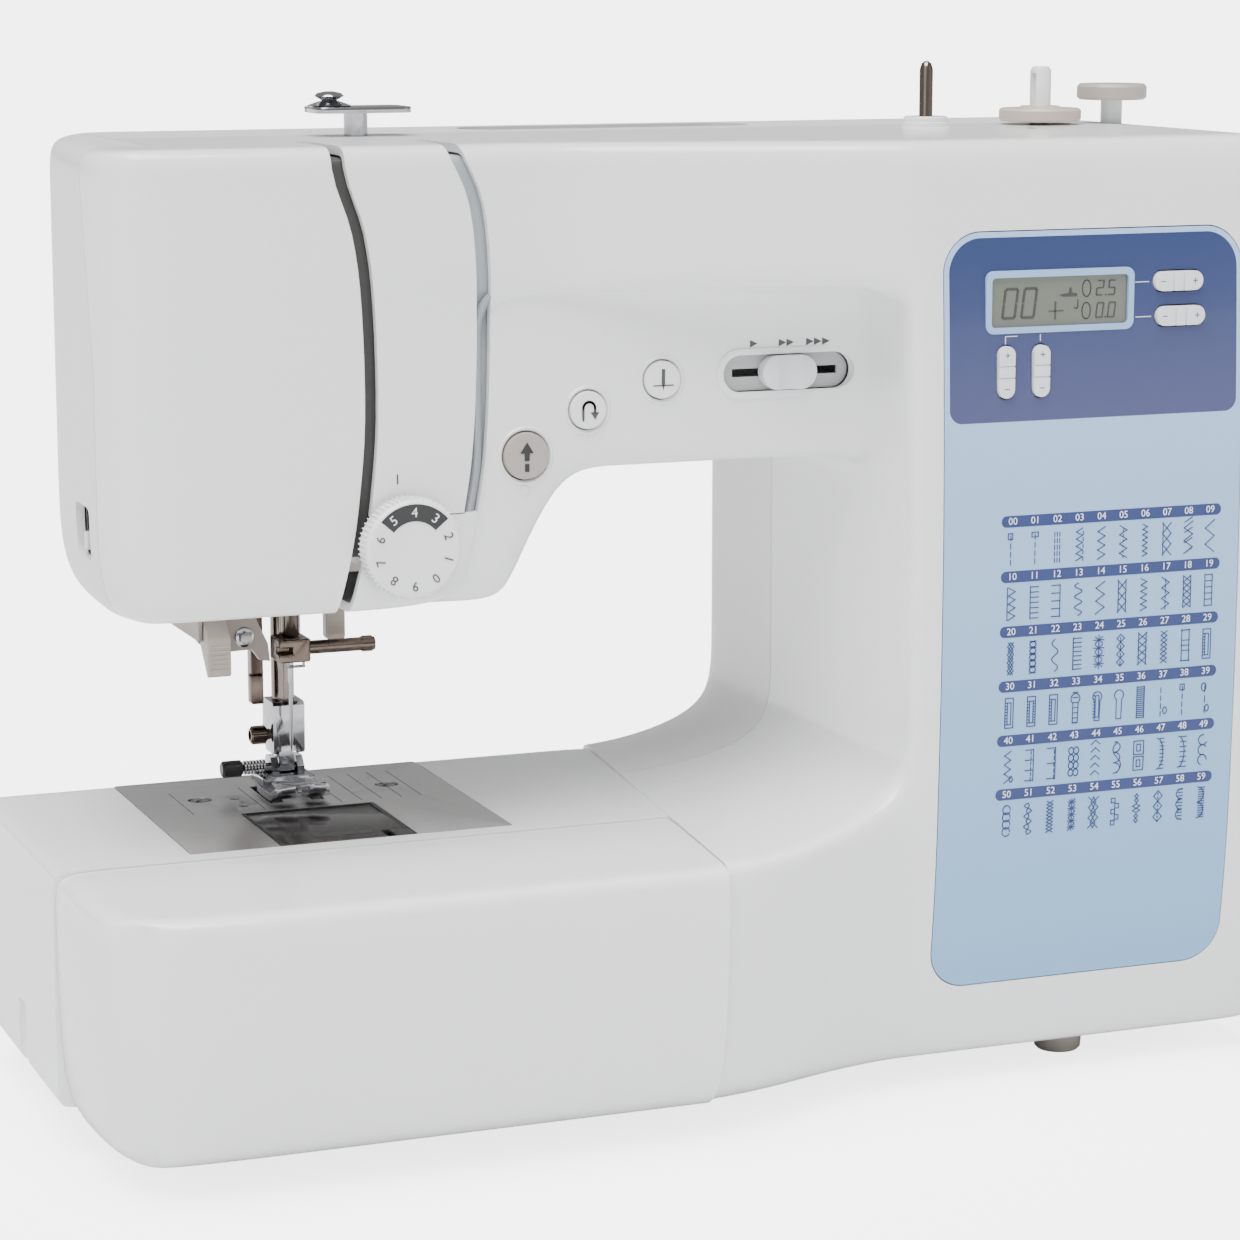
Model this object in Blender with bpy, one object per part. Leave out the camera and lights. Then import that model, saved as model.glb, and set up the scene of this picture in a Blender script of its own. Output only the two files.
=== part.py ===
"""Electronic free-arm sewing machine, built as separate pieces.

Metres in the file that comes out, millimetres in this source. +Z is up, +X is to the operator's
right and -Y faces the operator. The origin is on the table under the middle of the machine.
"""

import math

import bmesh
import bpy
from mathutils import Matrix, Vector

MM = 0.001
GAP = 0.3            # between pieces that touch or fit
WALL = 2.5           # moulded covers

# Length, left to right
END_LEAD = 15.5      # free arm's end beyond the head's left end
HEAD_LEFT = 74.0     # head's left end to the needle
REACH = 156.0        # needle to the pillar
PILLAR_W = 131.0
WHEEL_OUT = 28.5     # handwheel beyond the pillar
LENGTH = END_LEAD + HEAD_LEFT + REACH + PILLAR_W + WHEEL_OUT

X_END = -LENGTH / 2
HEAD_X = X_END + END_LEAD
NEEDLE_X = HEAD_X + HEAD_LEFT
PILLAR_X = NEEDLE_X + REACH
X_RIGHT = PILLAR_X + PILLAR_W

# Height
FOOT_H = 8.0
BED_H = 76.0         # base's underside to the sewing surface
OPENING_H = 107.0    # sewing surface to the arm
ARM_H = 94.0
HEAD_DROP = 37.0     # head below the arm
BED_TOP = FOOT_H + BED_H
ARM_UNDER = BED_TOP + OPENING_H
ARM_TOP = ARM_UNDER + ARM_H
HEAD_UNDER = ARM_UNDER - HEAD_DROP
ARM_FLOOR = 15.0     # free arm's underside

# Depth, front to back
DEPTH = 182.0
Y_BED = -DEPTH / 2
Y_BACK = DEPTH / 2
Y_PILLAR = -62.0     # pillar's front at its top and bottom
PILLAR_BULGE = 6.0   # how far its front bows out half way up
Y_HEAD = -37.0       # head's front
Y_RECESS = -33.0     # arm's front behind the buttons
HOUSING_BACK = Y_BACK - 3.5
Y_FREE = -24.0       # joint of free arm and flat bed attachment
FREE_BACK = 80.0
SPLIT = 34.0         # joint of front and rear covers
NEEDLE_Y = 42.0

EDGE_R = 14.0        # rounding of the housing
SEAM_FRONT = -24.0   # joint of attachment and bed, at the front
SEAM_LEAN = 0.12     # its lean in plan

# Drive train
SHAFT_R = 5.0
UPPER_Y, UPPER_Z = NEEDLE_Y, ARM_TOP - 47.0
LOWER_Y, LOWER_Z = NEEDLE_Y + 6.0, 38.0
FRAME_Y0, FRAME_Y1 = 67.5, 76.0

LOOKS = {
    "white_shell": ((0.86, 0.86, 0.87), 0.3, 0.0),
    "warm_shell": ((0.80, 0.79, 0.77), 0.35, 0.0),
    "grey_plastic": ((0.55, 0.55, 0.57), 0.4, 0.0),
    "taupe_plastic": ((0.50, 0.46, 0.42), 0.45, 0.0),
    "beige_plastic": ((0.66, 0.60, 0.54), 0.45, 0.0),
    "black_plastic": ((0.03, 0.03, 0.03), 0.4, 0.0),
    "panel_film": ((0.36, 0.50, 0.68), 0.35, 0.0),
    "smoked_clear": ((0.12, 0.11, 0.11), 0.1, 0.0),
    "lcd": ((0.35, 0.37, 0.34), 0.2, 0.0),
    "board": ((0.05, 0.25, 0.10), 0.5, 0.0),
    "bronze": ((0.30, 0.24, 0.20), 0.3, 1.0),
    "chrome": ((0.80, 0.80, 0.82), 0.1, 1.0),
    "steel": ((0.60, 0.60, 0.62), 0.3, 1.0),
    "cast_frame": ((0.55, 0.55, 0.57), 0.5, 1.0),
    "rubber": ((0.35, 0.33, 0.31), 0.8, 0.0),
    "clear": ((0.85, 0.87, 0.88), 0.1, 0.0),
}


# ---------------------------------------------------------------- tools

def clear_scene():
    for obj in list(bpy.data.objects):
        bpy.data.objects.remove(obj, do_unlink=True)


def look(name):
    found = bpy.data.materials.get(name)
    if found:
        return found
    colour, roughness, metallic = LOOKS[name]
    made = bpy.data.materials.new(name)
    made.use_nodes = True
    shader = made.node_tree.nodes["Principled BSDF"]
    shader.inputs["Base Color"].default_value = (*colour, 1.0)
    shader.inputs["Roughness"].default_value = roughness
    shader.inputs["Metallic"].default_value = metallic
    return made


def place(axis, along, across):
    """World point of a station along an axis and a point (u, v) across it."""
    u, v = across
    return {"x": (along, u, v), "y": (u, along, v), "z": (u, v, along)}[axis]


def closed(bm):
    bmesh.ops.recalc_face_normals(bm, faces=bm.faces)
    return bm


def prism(outline, axis, low, high):
    """Outline across an axis, extruded from low to high."""
    bm = bmesh.new()
    base = bm.faces.new([bm.verts.new(place(axis, low, p)) for p in outline])
    top = bmesh.ops.extrude_face_region(bm, geom=[base])["geom"]
    step = Vector(place(axis, high - low, (0, 0)))
    bmesh.ops.translate(bm, vec=step, verts=[g for g in top if isinstance(g, bmesh.types.BMVert)])
    return closed(bm)


def block(x, y, z, bevel=0.0, segments=2):
    bm = bmesh.new()
    bmesh.ops.create_cube(bm, size=1.0)
    size = (x[1] - x[0], y[1] - y[0], z[1] - z[0])
    bmesh.ops.scale(bm, vec=size, verts=bm.verts)
    bmesh.ops.translate(bm, vec=[(a + b) / 2 for a, b in (x, y, z)], verts=bm.verts)
    if bevel:
        bmesh.ops.bevel(bm, geom=list(bm.edges), offset=bevel, segments=segments, profile=0.5,
                        affect="EDGES")
    return closed(bm)


def circle(centre, radius, sides, start=0.0):
    steps = [start + math.tau * k / sides for k in range(sides)]
    return [(centre[0] + radius * math.cos(a), centre[1] + radius * math.sin(a)) for a in steps]


def rod(axis, centre, radius, low, high, sides=16):
    return prism(circle(centre, radius, sides, math.pi / sides), axis, low, high)


def rounded(u, v, radius, steps=4):
    """Rectangle with round corners, as an outline."""
    corners = [(u[1], v[1], 0), (u[0], v[1], 90), (u[0], v[0], 180), (u[1], v[0], 270)]
    outline = []
    for cu, cv, turn in corners:
        centre = (cu - math.copysign(radius, cu - sum(u) / 2),
                  cv - math.copysign(radius, cv - sum(v) / 2))
        for k in range(steps + 1):
            a = math.radians(turn + 90 * k / steps)
            outline.append((centre[0] + radius * math.cos(a), centre[1] + radius * math.sin(a)))
    return outline


def stadium(u, v, steps=6):
    """Slot outline: a rectangle whose short sides are half circles, a hair off so no side vanishes."""
    return rounded(u, v, min(u[1] - u[0], v[1] - v[0]) / 2 - 0.02, steps)


def turned(axis, centre, profile, sides=24):
    """Closed body of revolution: profile is a loop of (radius, station along the axis)."""
    bm = bmesh.new()
    rings = []
    for radius, along in profile:
        if radius < 1e-6:
            rings.append([bm.verts.new(place(axis, along, centre))])
        else:
            rings.append([bm.verts.new(place(axis, along, p)) for p in circle(centre, radius, sides)])
    for first, second in zip(rings, rings[1:] + rings[:1]):
        for k in range(sides):
            n = (k + 1) % sides
            loop = [first[k % len(first)], first[n % len(first)],
                    second[n % len(second)], second[k % len(second)]]
            unique = list(dict.fromkeys(loop))
            if len(unique) > 2:
                bm.faces.new(unique)
    return closed(bm)


def loft(outlines):
    """Closed body through matching outlines of world points."""
    bm = bmesh.new()
    rings = [[bm.verts.new(p) for p in outline] for outline in outlines]
    bm.faces.new(rings[0])
    bm.faces.new(rings[-1])
    count = len(rings[0])
    for first, second in zip(rings, rings[1:]):
        for k in range(count):
            n = (k + 1) % count
            bm.faces.new((first[k], first[n], second[n], second[k]))
    return closed(bm)


def helix(centre, radius, wire, low, high, turns, per_turn=10, sides=5):
    """Compression spring along Z as a swept wire."""
    outlines = []
    steps = turns * per_turn
    for s in range(steps + 1):
        turn = math.tau * s / per_turn
        z = low + wire + (high - low - 2 * wire) * s / steps
        out = Vector((math.cos(turn), math.sin(turn), 0))
        middle = Vector((*centre, z)) + radius * out
        outlines.append([middle + wire * (math.cos(a) * out + math.sin(a) * Vector((0, 0, 1)))
                         for a in (math.tau * k / sides for k in range(sides))])
    return loft(outlines)


def raw_object(name, bm):
    mesh = bpy.data.meshes.new(name)
    bm.to_mesh(mesh)
    bm.free()
    obj = bpy.data.objects.new(name, mesh)
    bpy.context.scene.collection.objects.link(obj)
    return obj


def combine(obj, shapes, operation):
    """Boolean each shape onto an object and keep the result as its mesh."""
    for shape in shapes:
        tool = raw_object("tool", shape)
        modifier = obj.modifiers.new(operation, "BOOLEAN")
        modifier.operation = operation
        modifier.solver = "EXACT"
        modifier.object = tool
        result = bpy.data.meshes.new_from_object(obj.evaluated_get(bpy.context.evaluated_depsgraph_get()))
        obj.modifiers.clear()
        obj.data = result
        bpy.data.objects.remove(tool, do_unlink=True)


def piece(name, finish, base, add=(), cut=(), keep=(), pivot=(0, 0, 0)):
    """One named piece: a base shape, shapes joined to it and cut from it; pivot is its origin."""
    obj = raw_object(name, base)
    combine(obj, add, "UNION")
    combine(obj, keep, "INTERSECT")
    combine(obj, cut, "DIFFERENCE")
    mesh = obj.data
    mesh.name = name
    mesh.materials.clear()
    mesh.materials.append(look(finish))
    mesh.transform(Matrix.Scale(MM, 4) @ Matrix.Translation(-Vector(pivot)))
    obj.location = Vector(pivot) * MM
    mesh.shade_smooth()
    mesh.set_sharp_from_angle(angle=math.radians(35))
    return obj


# ---------------------------------------------------------------- housing

def seam_x(y):
    return SEAM_FRONT + SEAM_LEAN * (y - Y_BED)


def smooth_step(t):
    t = min(max(t, 0.0), 1.0)
    return t * t * (3 - 2 * t)


def pillar_front(z):
    middle = (FOOT_H + ARM_TOP) / 2
    return Y_PILLAR - PILLAR_BULGE * (1 - ((z - middle) / (ARM_TOP - middle)) ** 2)


HEAD_FOOT_X = NEEDLE_X + 43.0    # right end of the head's underside
HEAD_SIDE_X = NEEDLE_X + 62.0    # where the head's slanted side meets the arm
BOTTOM_TUCK = 12.0               # base's front set back at its underside


def front_y(x, z):
    """Front of the housing."""
    if z <= BED_TOP:
        share = smooth_step((x - SEAM_FRONT) / (PILLAR_X - SEAM_FRONT))
        tuck = BOTTOM_TUCK * max(0.0, 1 - (z - FOOT_H) / (BED_H / 2))
        return Y_BED + (pillar_front(BED_TOP) - Y_BED) * share + tuck * (1 - 0.6 * share)
    share = min(max((x - HEAD_SIDE_X) / (PILLAR_X - HEAD_SIDE_X), 0.0), 1.0)
    return Y_HEAD + (pillar_front(z) - Y_HEAD) * share


def back_y(x, z):
    """Back of the housing, which widens from the free arm to the pillar."""
    if z > BED_TOP:
        return HOUSING_BACK
    start = seam_x(FREE_BACK)
    share = min(max((x - start) / (PILLAR_X - start), 0.0), 1.0)
    return FREE_BACK + (HOUSING_BACK - FREE_BACK) * share


def housing(inset, edge):
    """C-shaped body of bed, pillar, arm and head, its walls moved inwards by inset."""
    xs = [HEAD_X + inset, NEEDLE_X - 20, HEAD_SIDE_X - inset, SEAM_FRONT + inset,
          (PILLAR_X + SEAM_FRONT) / 2,
          PILLAR_X + inset, (PILLAR_X + X_RIGHT) / 2, X_RIGHT - inset]
    zs = [FOOT_H + inset, FOOT_H + BED_H / 2, BED_TOP - inset, HEAD_UNDER + inset, ARM_UNDER + inset,
          ARM_TOP - 0.45 * ARM_H, ARM_TOP - inset]
    seam, pillar = 3, 5

    def filled(i, j):
        bed = i >= seam and j in (0, 1)
        head = i <= 1 and j == 3
        return 0 <= i < 7 and 0 <= j < 6 and (bed or head or i >= pillar or j >= 4)

    bm = bmesh.new()
    corners = {}

    def corner(i, j, side):
        if (i, j, side) not in corners:
            x, z = xs[i], zs[j]
            if i == 2 and j == 3:
                x = HEAD_FOOT_X - inset
            if i == 0 and j == 3:
                x += 5.0
            y = front_y(x, z) + inset if side == "front" else back_y(x, z) - inset
            if i == seam:
                x = seam_x(y) + inset
            corners[i, j, side] = bm.verts.new((x, y, z))
        return corners[i, j, side]

    for i in range(7):
        for j in range(6):
            if not filled(i, j):
                continue
            for side in ("front", "back"):
                bm.faces.new([corner(a, b, side) for a,
                              b in ((i, j), (i + 1, j), (i + 1, j + 1), (i, j + 1))])
            edges = {(i - 1, j): ((i, j), (i, j + 1)), (i + 1, j): ((i + 1, j), (i + 1, j + 1)),
                     (i, j - 1): ((i, j), (i + 1, j)), (i, j + 1): ((i, j + 1), (i + 1, j + 1))}
            for neighbour, (p, q) in edges.items():
                if not filled(*neighbour):
                    bm.faces.new((corner(*p, "front"), corner(*q, "front"), corner(*q, "back"),
                                  corner(*p, "back")))
    closed(bm)
    seam_corners = {v for (i, _, _), v in corners.items() if i == seam}
    sharp = [e for e in bm.edges if e.calc_face_angle(0) > math.radians(32)
             and not (seam_corners.issuperset(e.verts) and e.verts[0].co.z <= BED_TOP)]
    bmesh.ops.bevel(bm, geom=sharp, offset=edge, segments=3, profile=0.5, affect="EDGES",
                    clamp_overlap=True)
    bmesh.ops.triangulate(bm, faces=bm.faces)
    return closed(bm)


RECESS_LEFT = NEEDLE_X + 40.0
RECESS_TOP = ARM_TOP - 42.0
FAR = 400.0          # past everything, for cutting tools


def recess(grow):
    """Space in front of the arm's buttons."""
    return block((RECESS_LEFT - grow, PILLAR_X + grow), (-FAR, Y_RECESS + grow),
                 (BED_TOP + 20.0, RECESS_TOP + grow))


def shell():
    """Whole moulded housing before it is parted into covers."""
    obj = raw_object("shell", housing(0.0, EDGE_R))
    hollow = raw_object("hollow", housing(WALL, EDGE_R - WALL))
    combine(hollow, [recess(WALL)], "DIFFERENCE")
    combine(obj, [recess(0.0)], "DIFFERENCE")
    inner = bmesh.new()
    inner.from_mesh(hollow.data)
    bpy.data.objects.remove(hollow, do_unlink=True)
    combine(obj, [inner], "DIFFERENCE")
    return obj


def part_of(source):
    bm = bmesh.new()
    bm.from_mesh(source.data)
    return bm


# Cover joints
END_X = HEAD_X + 20.0            # end cover's right edge
END_Y = -20.0                    # and its front edge
SLOT_L = NEEDLE_X - 6.5          # thread slots either side of the channel cover
CHANNEL_L = NEEDLE_X + 2.0
CHANNEL_R = NEEDLE_X + 33.0
SLOT_R = NEEDLE_X + 36.5
CHANNEL_BACK = -6.0              # where the slots end on the top
CHANNEL_LOW = HEAD_UNDER + 35.0
DIAL_X, DIAL_Z, DIAL_R = NEEDLE_X + 11.5, HEAD_UNDER + 19.0, 14.6
PANEL_X = (PILLAR_X + 12.0, X_RIGHT - 23.0)
PANEL_Z = (FOOT_H + 25.5, ARM_TOP - 26.5)
PANEL_R = 12.0

# Controls: name, centre x, centre z, radius
BUTTONS = [
    ("start_stop_button", NEEDLE_X + 49.0, ARM_UNDER + 2.95 + 0.9 * WALL, 6.8),
    ("reverse_button", NEEDLE_X + 68.0, ARM_UNDER + 17.5, 5.5),
    ("needle_position_button", NEEDLE_X + 91.0, ARM_UNDER + 25.3, 5.5),
]
SPEED_X, SPEED_Z = PILLAR_X - 25.5, ARM_UNDER + 26.0
SPEED_SLOT = (20.5, 5.6)         # half length, half height
SPEED_KNOB = (8.6, 5.1)
SPEED_TRAVEL = 10.0
PRESS = 1.5                      # buttons' travel

# Keys: name, centre x, centre z, half width, half height
KEYS = [
    ("stitch_tens_key", PILLAR_X + 29.2, ARM_TOP - 67.0, 2.5, 7.3),
    ("stitch_units_key", PILLAR_X + 40.6, ARM_TOP - 67.0, 2.5, 7.3),
    ("stitch_length_key", PILLAR_X + 86.2, ARM_TOP - 42.3, 7.3, 2.6),
    ("stitch_width_key", PILLAR_X + 86.8, ARM_TOP - 52.5, 7.3, 2.6),
]
LCD_X = (PILLAR_X + 24.3, PILLAR_X + 69.8)
LCD_Z = (ARM_TOP - 56.6, ARM_TOP - 39.4)

# Top fittings
SPOOL = (PILLAR_X + 47.0, 24.0)
WINDER = (PILLAR_X + 86.0, 22.0)
STOPPER = (PILLAR_X + 111.5, 22.0)
GUIDE = (NEEDLE_X + 18.0, 26.0)
WINDER_SHIFT = 6.0

# Right side
SWITCH_Y, SWITCH_Z = 0.0, FOOT_H + 55.0
INLET_Y, INLET_Z = 56.0, FOOT_H + 55.0

LEVER_X, LEVER_Z = NEEDLE_X + 17.0, HEAD_UNDER + 16.0
FREE_OPENING = ((22.0, FRAME_Y1 + 1.0), (22.0, BED_TOP - 24.0))   # way from free arm to bed, in Y and Z
HEAD_MOUTH = ((NEEDLE_X - 34.0, NEEDLE_X + 23.0), (20.0, 64.0))   # opening in the head's underside
BASE_X = (SEAM_FRONT + 22.0, X_RIGHT - 20.0)
BASE_Y = (Y_PILLAR + 22.0, FREE_BACK - 16.0)
CUTTER_Y, CUTTER_Z = (-14.0, 4.0), (HEAD_UNDER + 16.0, HEAD_UNDER + 31.0)


def region_end(grow):
    return block((-FAR, END_X + grow), (END_Y - grow, FAR), (HEAD_UNDER - 20, ARM_TOP + 20))


def region_channel(grow):
    return block((CHANNEL_L - grow, CHANNEL_R + grow), (-FAR, CHANNEL_BACK + grow),
                 (CHANNEL_LOW - grow, FAR))


def region_slots():
    """Opening for the channel cover and the two thread slots beside it."""
    return block((SLOT_L, SLOT_R), (-FAR, CHANNEL_BACK + 3.0), (CHANNEL_LOW - GAP, FAR))


def region_panel(grow):
    outline = rounded((PANEL_X[0] - grow, PANEL_X[1] + grow),
                      (PANEL_Z[0] - grow, PANEL_Z[1] + grow), PANEL_R + grow)
    return prism(outline, "y", -FAR, 0.0)


def make_covers():
    source = shell()
    front_cuts = [
        region_end(GAP), region_slots(), region_panel(GAP),
        block((SLOT_L, CHANNEL_L - 3.0), (-FAR, NEEDLE_Y), (HEAD_UNDER - 20, CHANNEL_LOW)),
        rod("y", (DIAL_X, DIAL_Z), 6.0, -FAR, 0.0),
        prism(stadium((SPEED_X - SPEED_SLOT[0], SPEED_X + SPEED_SLOT[0]),
                      (SPEED_Z - SPEED_SLOT[1], SPEED_Z + SPEED_SLOT[1])), "y", -FAR, 0.0),
        rod("z", SPOOL, 2.6, ARM_TOP - 20, FAR, 12),
        prism(stadium((WINDER[0] - 4.5, WINDER[0] + WINDER_SHIFT + 4.5),
                      (WINDER[1] - 4.5, WINDER[1] + 4.5), 3),
              "z", ARM_TOP - 20, FAR),
        rod("z", STOPPER, 3.8, ARM_TOP - 20, FAR, 12),
        rod("z", GUIDE, 3.9, ARM_TOP - 20, FAR, 12),
        block((X_RIGHT - 20, FAR), (SWITCH_Y - 9.0, SWITCH_Y + 9.0),
              (SWITCH_Z - 12.0, SWITCH_Z + 12.0)),
    ]
    front_cuts += [rod("y", (x, z), r + 0.4, -FAR, 0.0, 20) for _, x, z, r in BUTTONS]
    both = [
        block((SEAM_FRONT - 20, SEAM_FRONT + 40), *FREE_OPENING),
        block(*HEAD_MOUTH, (HEAD_UNDER - 20, HEAD_UNDER + 12)),
        block((BASE_X[0] - GAP, BASE_X[1] + GAP), (BASE_Y[0] - GAP, BASE_Y[1] + GAP),
              (-20, FOOT_H + 6)),
    ]
    rear_cuts = [
        region_end(GAP),
        rod("y", (LEVER_X, LEVER_Z), 4.5, 0.0, FAR, 12),
        rod("x", (UPPER_Y, UPPER_Z), SHAFT_R + 1.5, X_RIGHT - 20, FAR, 16),
        block((X_RIGHT - 20, FAR), (INLET_Y - 12.3, INLET_Y + 12.3), (INLET_Z - 9.3, INLET_Z + 9.3)),
        rounded_grip(),
    ]
    piece("front_cover", "white_shell", part_of(source),
          keep=[block((-FAR, FAR), (-FAR, SPLIT - GAP / 2), (-FAR, FAR))],
          cut=front_cuts + [shape.copy() for shape in both])
    piece("rear_cover", "warm_shell", part_of(source),
          keep=[block((-FAR, FAR), (SPLIT + GAP / 2, FAR), (-FAR, FAR))],
          cut=rear_cuts + both)
    piece("end_cover", "warm_shell", part_of(source), keep=[region_end(0.0)],
          cut=[block((HEAD_X - 20, HEAD_X + 6.0), CUTTER_Y, CUTTER_Z)])
    piece("channel_cover", "white_shell", part_of(source), keep=[region_channel(0.0)])
    panel_cuts = [prism(rounded(LCD_X, LCD_Z, 1.5, 2), "y", -FAR, 0.0)]
    panel_cuts += [prism(stadium((x - w - 0.4, x + w + 0.4), (z - h - 0.4, z + h + 0.4), 3), "y",
                         -FAR, 0.0)
                   for _, x, z, w, h in KEYS]
    piece("control_panel", "panel_film", part_of(source), keep=[region_panel(0.0)], cut=panel_cuts)
    bpy.data.objects.remove(source, do_unlink=True)


def rounded_grip():
    """Hand hold through the rear cover's top."""
    middle = (HEAD_SIDE_X + PILLAR_X) / 2
    return prism(stadium((middle - 48.0, middle + 48.0), (SPLIT + 14.0, SPLIT + 36.0), 4), "z",
                 ARM_TOP - 20, FAR)


# ---------------------------------------------------------------- bed

PLATE_X = (NEEDLE_X - 47.5, NEEDLE_X + 50.0)
PLATE_Y = (-17.0, 76.0)
PLATE_T = 1.2
DOOR_X = (NEEDLE_X - 20.5, NEEDLE_X + 20.5)   # bobbin cover
DOOR_Y = (PLATE_Y[0], 26.5)
SCREWS = [(PLATE_X[0] + 20.0, 48.0), (PLATE_X[1] - 18.0, 48.0)]
FEED_ROW_X = 6.5
FEED_Y = (38.5, 57.5)
FEED_TRAVEL = 1.8
BOBBIN_Y = 19.0
LATCH_TRAVEL = 2.2


FOOT_R = 6.2
ARM_FEET = [(X_END + 32.0, 0.0), (X_END + 32.0, FREE_BACK - 20.0)]


def foot_shape(spot, top):
    return turned("z", spot, [(0, 0), (FOOT_R, 0), (FOOT_R + 1.2, 3.0), (FOOT_R + 1.6, top),
                              (0, top)], 16)


def make_free_arm():
    low, high = Y_FREE + GAP, FREE_BACK
    outline = [(X_END, low), (seam_x(low) - GAP, low), (seam_x(high) - GAP, high), (X_END, high)]
    body = prism(outline, "z", ARM_FLOOR, BED_TOP)
    left = [e for e in body.edges if all(abs(v.co.x - X_END) < 0.01 for v in e.verts)]
    bmesh.ops.bevel(body, geom=left, offset=5.0, segments=3, profile=0.5, affect="EDGES")
    inner = [(X_END + WALL, low + WALL), (seam_x(low) - WALL, low + WALL),
             (seam_x(high) - WALL, high - WALL),
             (X_END + WALL, high - WALL)]
    feet = [foot_shape(spot, ARM_FLOOR + 1.0) for spot in ARM_FEET]
    piece("free_arm_cover", "white_shell", closed(body), add=feet, cut=[
        prism(inner, "z", ARM_FLOOR + WALL, BED_TOP - WALL),
        block((PLATE_X[0] - GAP, PLATE_X[1] + GAP), (PLATE_Y[0] - GAP, PLATE_Y[1] + GAP),
              (BED_TOP - 10, BED_TOP + 10)),
        block((seam_x(high) - 40, seam_x(high) + 20), *FREE_OPENING)])


def make_attachment():
    low, high = Y_BED, Y_FREE - GAP
    inset = 13.0
    radius = 20.0

    def outline(front, side):
        turn = [(X_END + side + radius - radius * math.sin(math.radians(a)),
                 front + radius - radius * math.cos(math.radians(a))) for a in (0, 22.5, 45, 67.5, 90)]
        inner = [(seam_x(high) - GAP, high), (X_END + side, high)]
        return inner + turn[::-1] + [(seam_x(front) - GAP, front)]

    # height, set-back of the front, set-back of the left end
    sections = [(FOOT_H, low + BOTTOM_TUCK + inset, 8.0), (FOOT_H + 5, low + BOTTOM_TUCK + 4, 3.0),
                (FOOT_H + 16, low + BOTTOM_TUCK * 0.55, 1.0), (FOOT_H + BED_H / 2, low + 1.5, 0.0),
                (BED_TOP - 6, low, 0.0), (BED_TOP - 2, low + 1.6, 1.6), (BED_TOP, low + 6.0, 6.0)]
    body = loft([[(x, y, z) for x, y in outline(front, side)] for z, front, side in sections])
    cave = block((X_END + 8.0, SEAM_FRONT - 8.0), (low + BOTTOM_TUCK + inset + 1.0, high + 20),
                 (FOOT_H + 3.0, BED_TOP - 3.0))
    piece("flat_bed_attachment", "white_shell", body, cut=[cave])


def make_base():
    rear_foot = foot_shape((X_RIGHT - 34.0, BASE_Y[1] - 9.0), FOOT_H + 1.0)
    piece("base_plate", "grey_plastic", block(BASE_X, BASE_Y, (FOOT_H, FOOT_H + 2.5)), add=[rear_foot])
    piece("front_foot", "rubber", foot_shape((PILLAR_X + 70.5, BASE_Y[0] + 9.0), FOOT_H - GAP))


def make_needle_plate():
    body = block(PLATE_X, PLATE_Y, (BED_TOP - PLATE_T, BED_TOP))
    slots = [block((NEEDLE_X + s * FEED_ROW_X - 2.1, NEEDLE_X + s * FEED_ROW_X + 2.1),
                   (FEED_Y[0] - FEED_TRAVEL - 0.6, FEED_Y[1] + FEED_TRAVEL + 0.6),
                   (BED_TOP - 5, BED_TOP + 5))
             for s in (-1, 1)]
    slots.append(prism(stadium((NEEDLE_X - 3.2, NEEDLE_X + 3.2), (NEEDLE_Y - 1.3, NEEDLE_Y + 1.3),
                               3), "z",
                       BED_TOP - 5, BED_TOP + 5))
    slots.append(block((DOOR_X[0] - GAP, DOOR_X[1] + GAP), (DOOR_Y[0] - 5, DOOR_Y[1] + GAP),
                       (BED_TOP - 5, BED_TOP + 5)))
    slots += [rod("z", (NEEDLE_X - 17.0, y), 1.6, BED_TOP - 5, BED_TOP + 5, 10) for y in (36.0, 46.0)]
    slots += [rod("z", spot, 3.6, BED_TOP - 5, BED_TOP + 5) for spot in SCREWS]
    piece("needle_plate", "steel", body, cut=slots)
    for side, spot in zip(("left", "right"), SCREWS):
        screw = turned("z", spot, [(0, BED_TOP - 9), (1.9, BED_TOP - 9), (1.9, BED_TOP - 1.3),
                                   (3.2, BED_TOP - 1.2),
                                   (3.2, BED_TOP - 0.1), (0, BED_TOP - 0.1)], 16)
        slot = block((spot[0] - 4, spot[0] + 4), (spot[1] - 0.4, spot[1] + 0.4),
                     (BED_TOP - 0.7, BED_TOP + 2))
        piece("plate_screw_" + side, "steel", screw, cut=[slot])


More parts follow.
